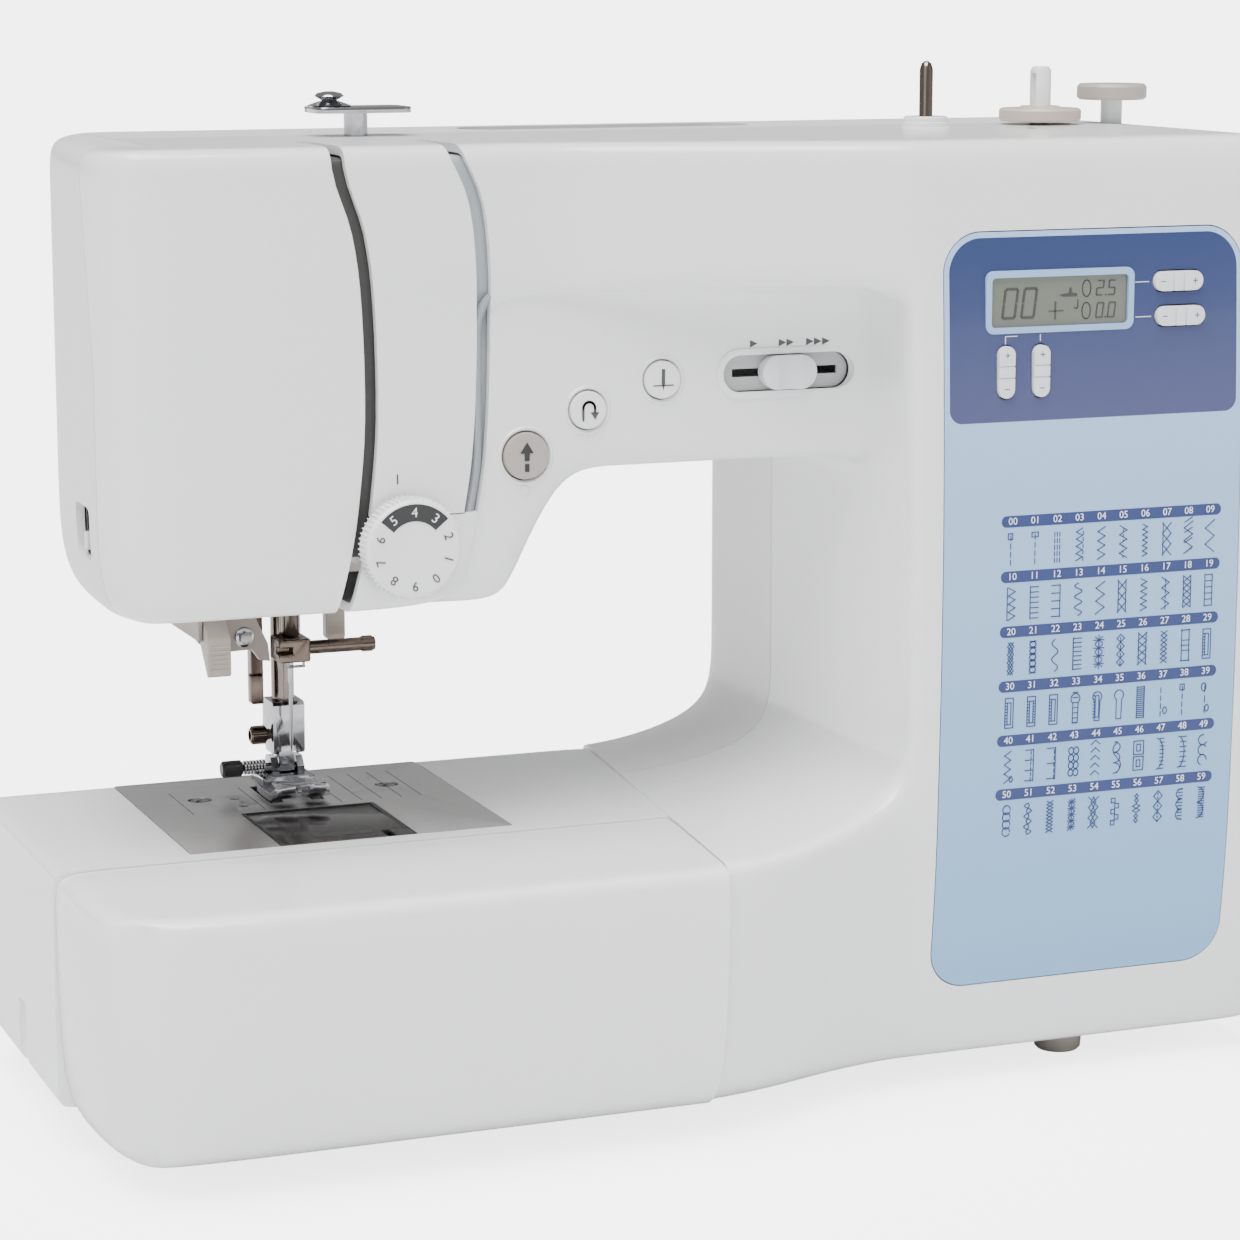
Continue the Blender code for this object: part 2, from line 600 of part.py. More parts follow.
def make_bobbin_parts():
    centre = (NEEDLE_X, BOBBIN_Y)
    door = block(DOOR_X, (DOOR_Y[0] + GAP, DOOR_Y[1]), (BED_TOP - PLATE_T, BED_TOP - 0.1))
    latch_x = DOOR_X[1] - 6.0
    piece("bobbin_cover", "smoked_clear", door,
          cut=[block((latch_x - LATCH_TRAVEL - GAP, FAR), (-FAR, DOOR_Y[0] + 8.0 + GAP),
                     (BED_TOP - 5, BED_TOP + 5))])
    piece("cover_latch", "black_plastic",
          block((latch_x, DOOR_X[1]), (DOOR_Y[0] + GAP, DOOR_Y[0] + 8.0), (BED_TOP - 2.2, BED_TOP)))
    # Hook: cup, hub and gear in one, all hung from the bed's top
    top = BED_TOP
    cup = [(0, LOWER_Z - 6), (9.3, LOWER_Z - 6), (9.3, LOWER_Z + 6), (4.0, LOWER_Z + 6),
           (4.0, top - 26.5), (19.5, top - 26.5), (19.5, top - 15), (15.6, top - 15),
           (15.6, top - 24), (0, top - 24)]
    piece("rotary_hook", "steel", turned("z", centre, cup, 28), pivot=(*centre, top - 24.0),
          cut=[block((NEEDLE_X + 9.0, NEEDLE_X + 22.0), (BOBBIN_Y - 3.0, BOBBIN_Y + 3.0),
                     (top - 20.0, top - 12.0))])
    case = [(0, top - 23), (15.0, top - 23), (15.0, top - 5), (12.2, top - 5), (12.2, top - 21),
            (3.2, top - 21), (3.2, top - 19.5), (0, top - 19.5)]
    piece("bobbin_case", "black_plastic", turned("z", centre, case, 28))
    bobbin = [(3.6, top - 19), (10.2, top - 19), (10.2, top - 18), (5.4, top - 17.4),
              (5.4, top - 8.8), (10.2, top - 8.2), (10.2, top - 7.2), (3.6, top - 7.2)]
    piece("bobbin", "clear", turned("z", centre, bobbin, 20), pivot=(*centre, top - 14.0))
    # Feed dog: a carrier with two toothed rows
    rows = []
    for s in (-1, 1):
        x = NEEDLE_X + s * FEED_ROW_X
        teeth = [(FEED_Y[0], BED_TOP - 9)]
        count = 8
        pitch = (FEED_Y[1] - FEED_Y[0]) / count
        for k in range(count):
            teeth += [(FEED_Y[0] + k * pitch, BED_TOP - 1.4),
                      (FEED_Y[0] + (k + 0.7) * pitch, BED_TOP - 0.4)]
        teeth += [(FEED_Y[1], BED_TOP - 1.4), (FEED_Y[1], BED_TOP - 9)]
        rows.append(prism(teeth, "x", x - 1.6, x + 1.6))
    piece("feed_dog", "steel", block((NEEDLE_X - 9.5, NEEDLE_X + 9.5), (FEED_Y[0], FEED_Y[1] + 2),
                                     (top - 13.0, top - 8.2)),
          add=rows, cut=[block((NEEDLE_X - 2.5, NEEDLE_X + 2.5), (NEEDLE_Y - 3, NEEDLE_Y + 3),
                               (top - 24, top - 4))])
    switch_x = NEEDLE_X + 30.0
    piece("feed_switch", "grey_plastic", block((switch_x - 6, switch_x + 6),
                                               (FREE_BACK + GAP, FREE_BACK + 3.0),
                                               (43.0, 51.0), 0.8, 1))


# ---------------------------------------------------------------- drive

def loop_outline(first, r1, second, r2, steps=16):
    """Outer tangent loop round two circles, as a belt takes."""
    (y1, z1), (y2, z2) = first, second
    span = math.hypot(y2 - y1, z2 - z1)
    along = math.atan2(z2 - z1, y2 - y1)
    lean = math.acos((r1 - r2) / span)
    outline = []
    for centre, radius, start, sweep in ((first, r1, along + lean, math.tau - 2 * lean),
                                         (second, r2, along - lean, 2 * lean)):
        for k in range(steps + 1):
            a = start + sweep * k / steps
            outline.append((centre[0] + radius * math.cos(a), centre[1] + radius * math.sin(a)))
    return outline


BELT_X = (X_RIGHT - 46.0, X_RIGHT - 38.0)          # timing belt
MOTOR_BELT_X = (X_RIGHT - 34.0, X_RIGHT - 27.0)
TIMING_R = 14.0
MOTOR_WHEEL_R = 22.0
MOTOR_PULLEY_R = 6.0
BELT_T = 1.6
MOTOR_Y, MOTOR_Z = -8.0, BED_TOP + 36.0


def belt(name, x, first, r1, second, r2):
    outer = loop_outline(first, r1 + 2 * GAP + BELT_T, second, r2 + 2 * GAP + BELT_T)
    inner = loop_outline(first, r1 + 2 * GAP, second, r2 + 2 * GAP)
    piece(name, "rubber", prism(outer, "x", x[0] + 0.5, x[1] - 0.5),
          cut=[prism(inner, "x", x[0] - 2, x[1] + 2)])


def teeth_outline(centre, radius, count, depth):
    outline = []
    for k in range(count):
        for share, r in ((0.0, radius - depth), (0.25, radius), (0.5, radius), (0.75, radius - depth)):
            a = math.tau * (k + share) / count
            outline.append((centre[0] + r * math.cos(a), centre[1] + r * math.sin(a)))
    return outline


def make_drive():
    upper, lower, motor = (UPPER_Y, UPPER_Z), (LOWER_Y, LOWER_Z), (MOTOR_Y, MOTOR_Z)
    crank_x = NEEDLE_X + 9.5
    crank = turned("x", upper, [(0, crank_x), (13.0, crank_x), (13.0, crank_x + 5),
                                (0, crank_x + 5)], 20)
    piece("upper_shaft", "steel", rod("x", upper, SHAFT_R, crank_x + 2, X_RIGHT + 12.0),
          add=[crank, rod("x", (UPPER_Y, UPPER_Z - 9.0), 2.5, crank_x - 2.2, crank_x + 2, 10)],
          pivot=(crank_x, *upper))
    hub = [(SHAFT_R + GAP, BELT_X[0]), (TIMING_R, BELT_X[0]), (TIMING_R, BELT_X[1]), (10, BELT_X[1]),
           (10, MOTOR_BELT_X[0]), (MOTOR_WHEEL_R, MOTOR_BELT_X[0]), (MOTOR_WHEEL_R, MOTOR_BELT_X[1]),
           (SHAFT_R + GAP, MOTOR_BELT_X[1])]
    piece("upper_pulley", "grey_plastic", turned("x", upper, hub, 24), pivot=(BELT_X[0], *upper))
    wheel_in, wheel_out = X_RIGHT + 1.2, X_RIGHT + WHEEL_OUT
    rim = 30.0
    wheel = [(SHAFT_R + GAP, wheel_in), (rim - 3, wheel_in), (rim, wheel_in + 4),
             (rim + 1.5, wheel_in + 14),
             (rim - 2, wheel_out - 4), (rim - 8, wheel_out), (0, wheel_out), (0, X_RIGHT + 13.0),
             (SHAFT_R + GAP, X_RIGHT + 13.0)]
    notches = [rod("x", (UPPER_Y + (rim + 4.2) * math.cos(a), UPPER_Z + (rim + 4.2) * math.sin(a)), 4.5,
                   wheel_in - 2, wheel_out + 2, 8) for a in (math.tau * k / 12 for k in range(12))]
    piece("handwheel", "grey_plastic", turned("x", upper, wheel, 36), cut=notches,
          pivot=(wheel_in, *upper))

    belt("timing_belt", BELT_X, upper, TIMING_R, lower, TIMING_R)
    belt("motor_belt", MOTOR_BELT_X, upper, MOTOR_WHEEL_R, motor, MOTOR_PULLEY_R)
    gear_x = NEEDLE_X
    gear = prism(teeth_outline(lower, 17.5, 24, 1.2), "x", gear_x - 5, gear_x + 5)
    pulley = rod("x", lower, TIMING_R, *BELT_X, 24)
    piece("lower_shaft", "steel", rod("x", lower, SHAFT_R, gear_x - 8, X_RIGHT - 22.0),
          add=[gear, pulley],
          pivot=(gear_x, *lower))
    body_r = 23.0
    motor_x = (BELT_X[0] - 62.0, BELT_X[0] - 4.0)
    case = [(0, motor_x[0]), (body_r - 3, motor_x[0]), (body_r, motor_x[0] + 3),
            (body_r, motor_x[1] - 3),
            (body_r - 3, motor_x[1]), (3.0, motor_x[1]), (3.0, motor_x[1] - 10), (0, motor_x[1] - 10)]
    piece("motor", "black_plastic", turned("x", motor, case, 24))
    spindle = [(0, motor_x[1] - 9.5), (2.6, motor_x[1] - 9.5), (2.6, MOTOR_BELT_X[0]),
               (MOTOR_PULLEY_R, MOTOR_BELT_X[0]), (MOTOR_PULLEY_R, MOTOR_BELT_X[1]),
               (0, MOTOR_BELT_X[1])]
    piece("motor_pulley", "steel", turned("x", motor, spindle, 16), pivot=(MOTOR_BELT_X[0], *motor))


PRESSER_X, PRESSER_Y = NEEDLE_X + 1.5, NEEDLE_Y + 14.0
BAR_TOP = UPPER_Z + 24.0
NEEDLE_BAR_R, PRESSER_R = 3.2, 3.5
LOW_GUIDE = (HEAD_UNDER + 6.0, HEAD_UNDER + 14.0)
MID_GUIDE = (ARM_UNDER + 9.0, ARM_UNDER + 17.0)
SPRING_SEAT = (ARM_TOP - 34.0, ARM_TOP - 28.0)
TAKE_UP_Y, TAKE_UP_Z = 20.0, UPPER_Z - 13.0
TAKE_UP_X = (NEEDLE_X - 5.2, NEEDLE_X - 2.4)


def make_frame():
    head_l, head_r = NEEDLE_X - 22.0, NEEDLE_X + 22.0
    low, high = FOOT_H + 12.0, ARM_TOP - 22.0
    inner_l = PILLAR_X + 52.0
    outline = [(head_l, LOW_GUIDE[0]), (head_r, LOW_GUIDE[0]), (head_r + 6, ARM_UNDER + 20),
               (inner_l, ARM_UNDER + 20),
               (inner_l, BED_TOP - 26), (NEEDLE_X - 20, BED_TOP - 26), (NEEDLE_X - 20, ARM_FLOOR + 8),
               (seam_x(FREE_BACK), ARM_FLOOR + 8), (X_RIGHT - 16, low), (X_RIGHT - 16, high),
               (head_l, high)]
    body = prism(outline, "y", FRAME_Y0, FRAME_Y1)
    behind = FRAME_Y0 + 1
    upper_lug = [(x, x + 10.0) for x in (NEEDLE_X + 20.0, PILLAR_X + 62.0)]
    lower_lug = [(NEEDLE_X + 16.0, NEEDLE_X + 24.0), (PILLAR_X + 58.0, PILLAR_X + 68.0)]
    adds = [block(x, (UPPER_Y - 9, behind), (UPPER_Z - 9, UPPER_Z + 9)) for x in upper_lug]
    adds += [block(x, (LOWER_Y - 8, behind), (LOWER_Z - 7, LOWER_Z + 7)) for x in lower_lug]
    adds += [block((NEEDLE_X - 9, NEEDLE_X + 8.5), (NEEDLE_Y - 6, behind), z) for z in (LOW_GUIDE,
                                                                                        MID_GUIDE)]
    adds.append(block((PRESSER_X - 7, PRESSER_X + 6.5), (PRESSER_Y - 6.5, behind), SPRING_SEAT))
    adds.append(block((NEEDLE_X - 21.5, NEEDLE_X - 8.5), (TAKE_UP_Y - 7, behind),
                      (TAKE_UP_Z - 7, TAKE_UP_Z + 7)))
    cuts = [rod("x", (UPPER_Y, UPPER_Z), SHAFT_R + GAP, NEEDLE_X + 14, X_RIGHT),
            rod("x", (LOWER_Y, LOWER_Z), SHAFT_R + GAP, NEEDLE_X + 8, X_RIGHT - 10),
            rod("z", (NEEDLE_X, NEEDLE_Y), NEEDLE_BAR_R + GAP, HEAD_UNDER, BAR_TOP, 14),
            rod("z", (PRESSER_X, PRESSER_Y), PRESSER_R + GAP, HEAD_UNDER, ARM_TOP, 14),
            rod("x", (TAKE_UP_Y, TAKE_UP_Z), 3.4, NEEDLE_X - 30, NEEDLE_X, 12),
            rod("y", (LEVER_X, LEVER_Z), 4.5, FRAME_Y0 - 5, FAR, 12)]
    piece("main_frame", "cast_frame", body, add=adds, cut=cuts)


def make_needle_group():
    clamp_z = (BED_TOP + 43.0, BED_TOP + 50.0)
    piece("needle_bar", "bronze", rod("z", (NEEDLE_X, NEEDLE_Y), NEEDLE_BAR_R, clamp_z[1] + GAP,
                                      BAR_TOP, 14),
          pivot=(NEEDLE_X, NEEDLE_Y, clamp_z[1]))
    clamp = block((NEEDLE_X - 5.2, NEEDLE_X + 4.8), (NEEDLE_Y - 7, NEEDLE_Y + 5), clamp_z, 1.0, 1)
    screw_z = sum(clamp_z) / 2
    piece("needle_clamp", "bronze", clamp, pivot=(NEEDLE_X, NEEDLE_Y, screw_z), cut=[
        rod("z", (NEEDLE_X, NEEDLE_Y), 1.35, clamp_z[0] - 2, clamp_z[1] - 0.6, 10),
        rod("x", (NEEDLE_Y - 2, screw_z), 1.6, NEEDLE_X + 2.0, NEEDLE_X + 10, 10)])
    stub = NEEDLE_X + 2.6
    head = NEEDLE_X + 21.0
    screw = [(0, stub), (1.3, stub), (1.3, NEEDLE_X + 5.2), (2.3, NEEDLE_X + 5.2), (2.3, head),
             (1.6, head),
             (1.6, head + 1), (2.6, head + 1), (2.6, head + 5), (0, head + 5)]
    piece("clamp_screw", "bronze", turned("x", (NEEDLE_Y - 2, screw_z), screw, 14),
          cut=[block((head + 3.4, head + 8), (NEEDLE_Y - 2.5, NEEDLE_Y - 1.5),
                     (screw_z - 5, screw_z + 5))],
          pivot=(head, NEEDLE_Y - 2, screw_z))
    tip = BED_TOP + 14.0
    needle = [(0, tip), (0.45, tip + 4), (0.45, clamp_z[0] - 7), (1.0, clamp_z[0] - 5),
              (1.0, clamp_z[1] - 1.0),
              (0, clamp_z[1] - 1.0)]
    piece("needle", "steel", turned("z", (NEEDLE_X, NEEDLE_Y), needle, 10),
          pivot=(NEEDLE_X, NEEDLE_Y, tip))
    # Take-up lever: a hub on a pin, and an arm that ends in an open eye
    arm = [(TAKE_UP_Y - 3, TAKE_UP_Z - 4), (TAKE_UP_Y + 4, TAKE_UP_Z), (TAKE_UP_Y - 1, TAKE_UP_Z + 5),
           (TAKE_UP_Y - 42, TAKE_UP_Z + 27), (TAKE_UP_Y - 45, TAKE_UP_Z + 22)]
    piece("take_up_lever", "steel", rod("x", (TAKE_UP_Y, TAKE_UP_Z), 6.0, *TAKE_UP_X),
          add=[prism(arm, "x", *TAKE_UP_X), rod("x", (TAKE_UP_Y, TAKE_UP_Z), 3.0, NEEDLE_X - 20,
                                                TAKE_UP_X[0] + 1, 12)],
          cut=[rod("x", (TAKE_UP_Y - 40, TAKE_UP_Z + 22.6), 1.2, TAKE_UP_X[0] - 2, TAKE_UP_X[1] + 2,
                   8)],
          pivot=(TAKE_UP_X[0], TAKE_UP_Y, TAKE_UP_Z))


HOLDER_Z = (BED_TOP + 11.8, BED_TOP + 28.0)
FOOT_PIVOT = (PRESSER_Y - 3.5, BED_TOP + 7.4)


def make_presser_group():
    bar_low = HOLDER_Z[0] + 9.5
    collar_low = MID_GUIDE[1] + 3.0
    collar = rod("z", (PRESSER_X, PRESSER_Y), 6.0, collar_low, collar_low + 4, 14)
    piece("presser_bar", "bronze", rod("z", (PRESSER_X, PRESSER_Y), PRESSER_R, bar_low, BAR_TOP,
                                       14), add=[collar],
          pivot=(PRESSER_X, PRESSER_Y, bar_low))
    spring = helix((PRESSER_X, PRESSER_Y), 5.1, 0.7, collar_low + 4 + GAP, SPRING_SEAT[0] - GAP, 6)
    piece("presser_spring", "steel", spring)
    holder = block((PRESSER_X - 5, PRESSER_X + 5), (PRESSER_Y - 6.5, PRESSER_Y + 5.5), HOLDER_Z, 1.0, 1)
    screw_z = HOLDER_Z[0] + 5.5
    screw_y = PRESSER_Y - 1
    piece("foot_holder", "chrome", holder, cut=[
        rod("z", (PRESSER_X, PRESSER_Y), PRESSER_R + GAP, bar_low - GAP, HOLDER_Z[1] + 5, 14),
        rod("x", (screw_y, screw_z), 1.8, PRESSER_X - 10, PRESSER_X - 2, 10)],
        pivot=(PRESSER_X, PRESSER_Y, HOLDER_Z[0]))
    left = PRESSER_X - 5
    screw = [(0, left + 2.6), (1.4, left + 2.6), (1.4, left - 0.4), (3.0, left - 0.4),
             (3.0, left - 6), (0, left - 6)]
    piece("foot_screw", "bronze", turned("x", (screw_y, screw_z), screw, 14),
          pivot=(left, screw_y, screw_z),
          cut=[block((left - 9, left - 5), (screw_y - 0.5, screw_y + 0.5), (screw_z - 5, screw_z + 5))])
    sole_low = BED_TOP + 1.0
    sole = block((NEEDLE_X - 9.5, NEEDLE_X + 9.0), (NEEDLE_Y - 13.5, NEEDLE_Y + 16),
                 (sole_low, sole_low + 2.4), 0.6, 1)
    ankle = block((NEEDLE_X - 4.5, NEEDLE_X + 6.0), (NEEDLE_Y + 5.5, NEEDLE_Y + 15),
                  (sole_low + 1.5, HOLDER_Z[0] - 0.9))
    knob = rod("x", (NEEDLE_Y + 12, sole_low + 6.5), 2.6, NEEDLE_X - 19, NEEDLE_X - 12.5, 12)
    pin = rod("x", (NEEDLE_Y + 12, sole_low + 6.5), 1.2, NEEDLE_X - 14, NEEDLE_X, 10)
    piece("presser_foot", "chrome", sole, add=[ankle, pin, knob], pivot=(NEEDLE_X, *FOOT_PIVOT), cut=[
        prism(stadium((NEEDLE_X - 3.6, NEEDLE_X + 3.6), (NEEDLE_Y - 2.2, NEEDLE_Y + 2.2), 3), "z",
              BED_TOP, BED_TOP + 20),
        block((NEEDLE_X - 1.2, NEEDLE_X + 1.2), (NEEDLE_Y - 20, NEEDLE_Y - 5),
              (BED_TOP, BED_TOP + 20))])
    grip_y = (HOUSING_BACK + 0.6, Y_BACK)
    down = math.radians(-58)
    reach = 36.0
    tip = (LEVER_X + reach * math.cos(down), LEVER_Z + reach * math.sin(down))
    across = (-math.sin(down), math.cos(down))
    handle = [(LEVER_X + 5 * across[0], LEVER_Z + 5 * across[1]),
              (LEVER_X - 5 * across[0], LEVER_Z - 5 * across[1]),
              (tip[0] - 7 * across[0], tip[1] - 7 * across[1]),
              (tip[0] + 7 * across[0], tip[1] + 7 * across[1])]
    piece("presser_lever", "warm_shell", rod("y", (LEVER_X, LEVER_Z), 4.1, FRAME_Y0 - 4,
                                             grip_y[1] - 1, 14),
          add=[prism(handle, "y", *grip_y), rod("y", (LEVER_X, LEVER_Z), 7.0, *grip_y, 16),
               rod("y", (LEVER_X, LEVER_Z), 6.5, FRAME_Y0 - 5, FRAME_Y0 - 1, 14)],
          pivot=(LEVER_X, grip_y[0], LEVER_Z))


def make_head_fittings():
    side = NEEDLE_X - 31.0
    piece("threader_bracket", "bronze", block((side, side + 9), (NEEDLE_Y - 4, NEEDLE_Y + 6),
                                              (BED_TOP + 47, HEAD_UNDER + 10), 0.8, 1),
          add=[block((side + 2, side + 7), (NEEDLE_Y, FRAME_Y0 - GAP),
                     (HEAD_UNDER + 3, HEAD_UNDER + 9))])
    lever = [(NEEDLE_Y - 5, BED_TOP + 62), (NEEDLE_Y - 5, BED_TOP + 47), (NEEDLE_Y - 14, BED_TOP + 38),
             (NEEDLE_Y - 14, BED_TOP + 50), (NEEDLE_Y - 9, BED_TOP + 54), (NEEDLE_Y - 9, BED_TOP + 62)]
    piece("threader_lever", "beige_plastic", prism(lever, "x", side + 1.5, side + 10.5),
          pivot=(side + 6, NEEDLE_Y - 9, BED_TOP + 50))
    hang_x = NEEDLE_X + 14.5
    hang_y = (NEEDLE_Y + 9.0, NEEDLE_Y + 13.5)
    hook = [(hang_x, HEAD_UNDER + 26), (hang_x, BED_TOP + 53), (hang_x + 1, BED_TOP + 47),
            (hang_x + 5, BED_TOP + 46),
            (hang_x + 6, BED_TOP + 50), (hang_x + 4.5, BED_TOP + 60), (hang_x + 6, BED_TOP + 68),
            (hang_x + 5.2, HEAD_UNDER + 26)]
    piece("buttonhole_lever", "beige_plastic", prism(hook, "y", *hang_y),
          pivot=(hang_x, hang_y[0], BED_TOP + 50))


# ---------------------------------------------------------------- controls

def make_controls():
    flange_in = Y_RECESS + WALL + GAP + 0.3
    for name, x, z, radius in BUTTONS:
        finish = "taupe_plastic" if name.startswith("start") else "white_shell"
        profile = [(0, Y_RECESS - 1.6), (radius - 0.6, Y_RECESS - 1.6), (radius, Y_RECESS - 1.0),
                   (radius, flange_in),
                   (radius + 0.7, flange_in), (radius + 0.7, flange_in + 1.2), (0, flange_in + 1.2)]
        piece(name, finish, turned("y", (x, z), profile, 24), pivot=(x, Y_RECESS, z))
    strip_in = flange_in + 1.2 + PRESS + 2 * GAP     # behind the pressed buttons
    knob = prism(stadium((SPEED_X - SPEED_KNOB[0], SPEED_X + SPEED_KNOB[0]),
                         (SPEED_Z - SPEED_KNOB[1], SPEED_Z + SPEED_KNOB[1])), "y", Y_RECESS - 3.0,
                         strip_in + 0.5)
    strip_half = SPEED_SLOT[0] + SPEED_TRAVEL + 1.5
    strip = block((SPEED_X - strip_half, SPEED_X + strip_half), (strip_in, strip_in + 1.0),
                  (SPEED_Z - 7.5, SPEED_Z + 7.5))
    piece("speed_slider", "grey_plastic", strip, add=[knob], pivot=(SPEED_X, Y_RECESS, SPEED_Z))
    dial_back = Y_HEAD - 0.8
    dial = [(0, dial_back - 7.6), (DIAL_R - 1.4, dial_back - 7.6), (DIAL_R - 0.4, dial_back - 6.6),
            (DIAL_R, dial_back),
            (5.4, dial_back), (5.4, Y_HEAD + 9), (0, Y_HEAD + 9)]
    piece("tension_dial", "white_shell", turned("y", (DIAL_X, DIAL_Z), dial, 36),
          pivot=(DIAL_X, Y_HEAD, DIAL_Z))

    middle = sum(PANEL_X) / 2
    for name, x, z, half_w, half_h in KEYS:
        skin = front_y(x, z)
        face = skin - 1.2
        back = skin + WALL + 1.8
        cap = prism(stadium((x - half_w, x + half_w), (z - half_h, z + half_h), 3), "y", face, back)
        flange = block((x - half_w - 0.8, x + half_w + 0.8), (skin + WALL + 1.5, skin + WALL + 2.6),
                       (z - half_h - 0.8, z + half_h + 0.8))
        piece(name, "white_shell", cap, add=[flange], pivot=(x, skin + WALL + 2.0, z))
    lcd_skin = front_y(middle, sum(LCD_Z) / 2)
    lens = prism(rounded((LCD_X[0] + GAP, LCD_X[1] - GAP), (LCD_Z[0] + GAP, LCD_Z[1] - GAP), 1.2,
                         2), "y",
                 lcd_skin + 0.8, lcd_skin + 6)
    piece("lcd_module", "lcd", lens, add=[block((LCD_X[0] - 3, LCD_X[1] + 3),
                                                (lcd_skin + 4.4, lcd_skin + 8),
                                                (LCD_Z[0] - 2, LCD_Z[1] + 3))])
    board_y = Y_PILLAR + 9.0
    piece("circuit_board", "board", block((PANEL_X[0] + 4, PANEL_X[1] - 4), (board_y, board_y + 1.6),
                                          (ARM_TOP - 120, ARM_TOP - 32)))
    rocker_x = (X_RIGHT - 5.0, X_RIGHT + 1.6)
    rocker = [(rocker_x[0], SWITCH_Z - 10.5), (rocker_x[1] + 0.8, SWITCH_Z - 10.5),
              (rocker_x[1] - 1.2, SWITCH_Z),
              (rocker_x[1] + 0.8, SWITCH_Z + 10.5), (rocker_x[0], SWITCH_Z + 10.5)]
    piece("power_switch", "black_plastic", prism(rocker, "y", SWITCH_Y - 8, SWITCH_Y + 8),
          pivot=(X_RIGHT - 1.0, SWITCH_Y, SWITCH_Z))
    socket = block((X_RIGHT - 15, X_RIGHT - 0.4), (INLET_Y - 12, INLET_Y + 12),
                   (INLET_Z - 9, INLET_Z + 9), 1.0, 1)
    pocket = prism(stadium((INLET_Y - 8, INLET_Y + 8), (INLET_Z - 4.5, INLET_Z + 4.5), 4), "x",
                   X_RIGHT - 12, X_RIGHT + 5)
    piece("power_inlet", "black_plastic", socket, cut=[pocket])


def make_top_fittings():
    top = ARM_TOP
    piece("spool_pin", "steel", turned("z", SPOOL,
                                       [(0, top - 40), (2.1, top - 40), (2.1, top + 18),
                                        (1.4, top + 19.8),
                                                    (0, top + 20)], 12), pivot=(*SPOOL, top))
    seat = [(0, top - 14), (3.3, top - 14), (3.3, top + 1.4), (12.6, top + 1.4), (12.9, top + 2.4),
            (12.2, top + 4.6),
            (3.3, top + 5.2), (3.3, top + 17), (2.4, top + 18), (0, top + 18)]
    piece("bobbin_winder", "taupe_plastic", turned("z", WINDER, seat, 24), pivot=(*WINDER, top))
    wx, wy = WINDER
    carrier = block((wx - 9, wx + 9), (wy - 8, wy + 8), (top - 12, top - 6))
    piece("winder_carrier", "grey_plastic", carrier, cut=[rod("z", WINDER, 3.7, top - 20, top)],
          pivot=(wx, wy, top - 9))
    stopper = [(0, top - 14), (3.4, top - 14), (3.4, top + 7.4), (10.6, top + 7.4),
               (11.0, top + 8.4), (11.0, top + 11.4),
               (10.4, top + 12.4), (0, top + 12.4)]
    piece("bobbin_stopper", "taupe_plastic", turned("z", STOPPER, stopper, 24), pivot=(*STOPPER, top))
    post = turned("z", GUIDE, [(0, top - 10), (3.5, top - 10), (3.5, top + 7.6), (0, top + 7.6)], 14)
    gx, gy = GUIDE
    plate = [(gx - 15, gy - 8), (gx + 2, gy - 9), (gx + 15, gy - 3), (gx + 15, gy + 1),
             (gx + 4, gy + 4),
             (gx - 3, gy + 8), (gx - 15, gy + 7)]
    bobbin_disc = turned("z", (gx - 8, gy), [(0, top + 8), (5, top + 9), (5, top + 10),
                                             (1.8, top + 11.4),
                                             (2.6, top + 13), (0, top + 13)], 14)
    piece("thread_guide", "chrome", post, add=[prism(plate, "z", top + 6.8, top + 8.6), bobbin_disc])


def main():
    clear_scene()
    make_covers()
    make_free_arm()
    make_attachment()
    make_base()
    make_needle_plate()
    make_bobbin_parts()
    make_drive()
    make_frame()
    make_needle_group()
    make_presser_group()
    make_head_fittings()
    make_controls()
    make_top_fittings()
    print(len([o for o in bpy.data.objects if o.type == "MESH"]), "pieces")


main()
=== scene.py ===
# %% [markdown]
# # An electronic sewing machine
# This lesson dresses a sewing machine whose working parts already stand in a fixed frame: every
# shaft, lever and cover there has its true size and its place. Here each visible piece gets its
# real shape and finish. All sizes below are millimetres and are turned into metres at the end of
# each step. X runs along the arm, Y from the operator to the back, Z up.

import math

import bmesh
import bpy
from mathutils import Matrix, Vector
from mathutils.bvhtree import BVHTree


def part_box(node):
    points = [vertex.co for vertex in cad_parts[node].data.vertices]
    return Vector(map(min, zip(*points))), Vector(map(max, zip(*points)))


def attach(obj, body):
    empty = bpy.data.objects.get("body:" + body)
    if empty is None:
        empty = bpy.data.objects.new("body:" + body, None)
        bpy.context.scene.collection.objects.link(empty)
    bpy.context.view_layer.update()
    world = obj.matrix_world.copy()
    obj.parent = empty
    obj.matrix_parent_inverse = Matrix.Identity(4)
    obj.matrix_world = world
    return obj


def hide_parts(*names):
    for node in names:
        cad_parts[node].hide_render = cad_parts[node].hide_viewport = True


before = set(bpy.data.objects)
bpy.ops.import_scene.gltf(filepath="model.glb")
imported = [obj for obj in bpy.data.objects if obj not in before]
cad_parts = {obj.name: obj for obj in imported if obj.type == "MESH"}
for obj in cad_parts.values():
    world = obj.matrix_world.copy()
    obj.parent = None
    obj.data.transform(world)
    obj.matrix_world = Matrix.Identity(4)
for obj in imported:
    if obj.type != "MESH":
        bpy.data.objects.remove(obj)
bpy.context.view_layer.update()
MM = 0.001
FAR = 400.0  # past any side of the machine, for cuts that go right through
print(len(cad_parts), "pieces in the frame")

# %% [markdown]
# ## Reading sizes from the frame
# A piece fits because it starts from the box of the piece it dresses. `span` gives that box in
# millimetres, so that later steps can say "the dial's centre" and not a bare number.

# %% Boxes in millimetres
def span(node):
    low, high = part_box(node)
    return [(a / MM, b / MM) for a, b in zip(low, high)]


def middle(pair):
    return (pair[0] + pair[1]) / 2


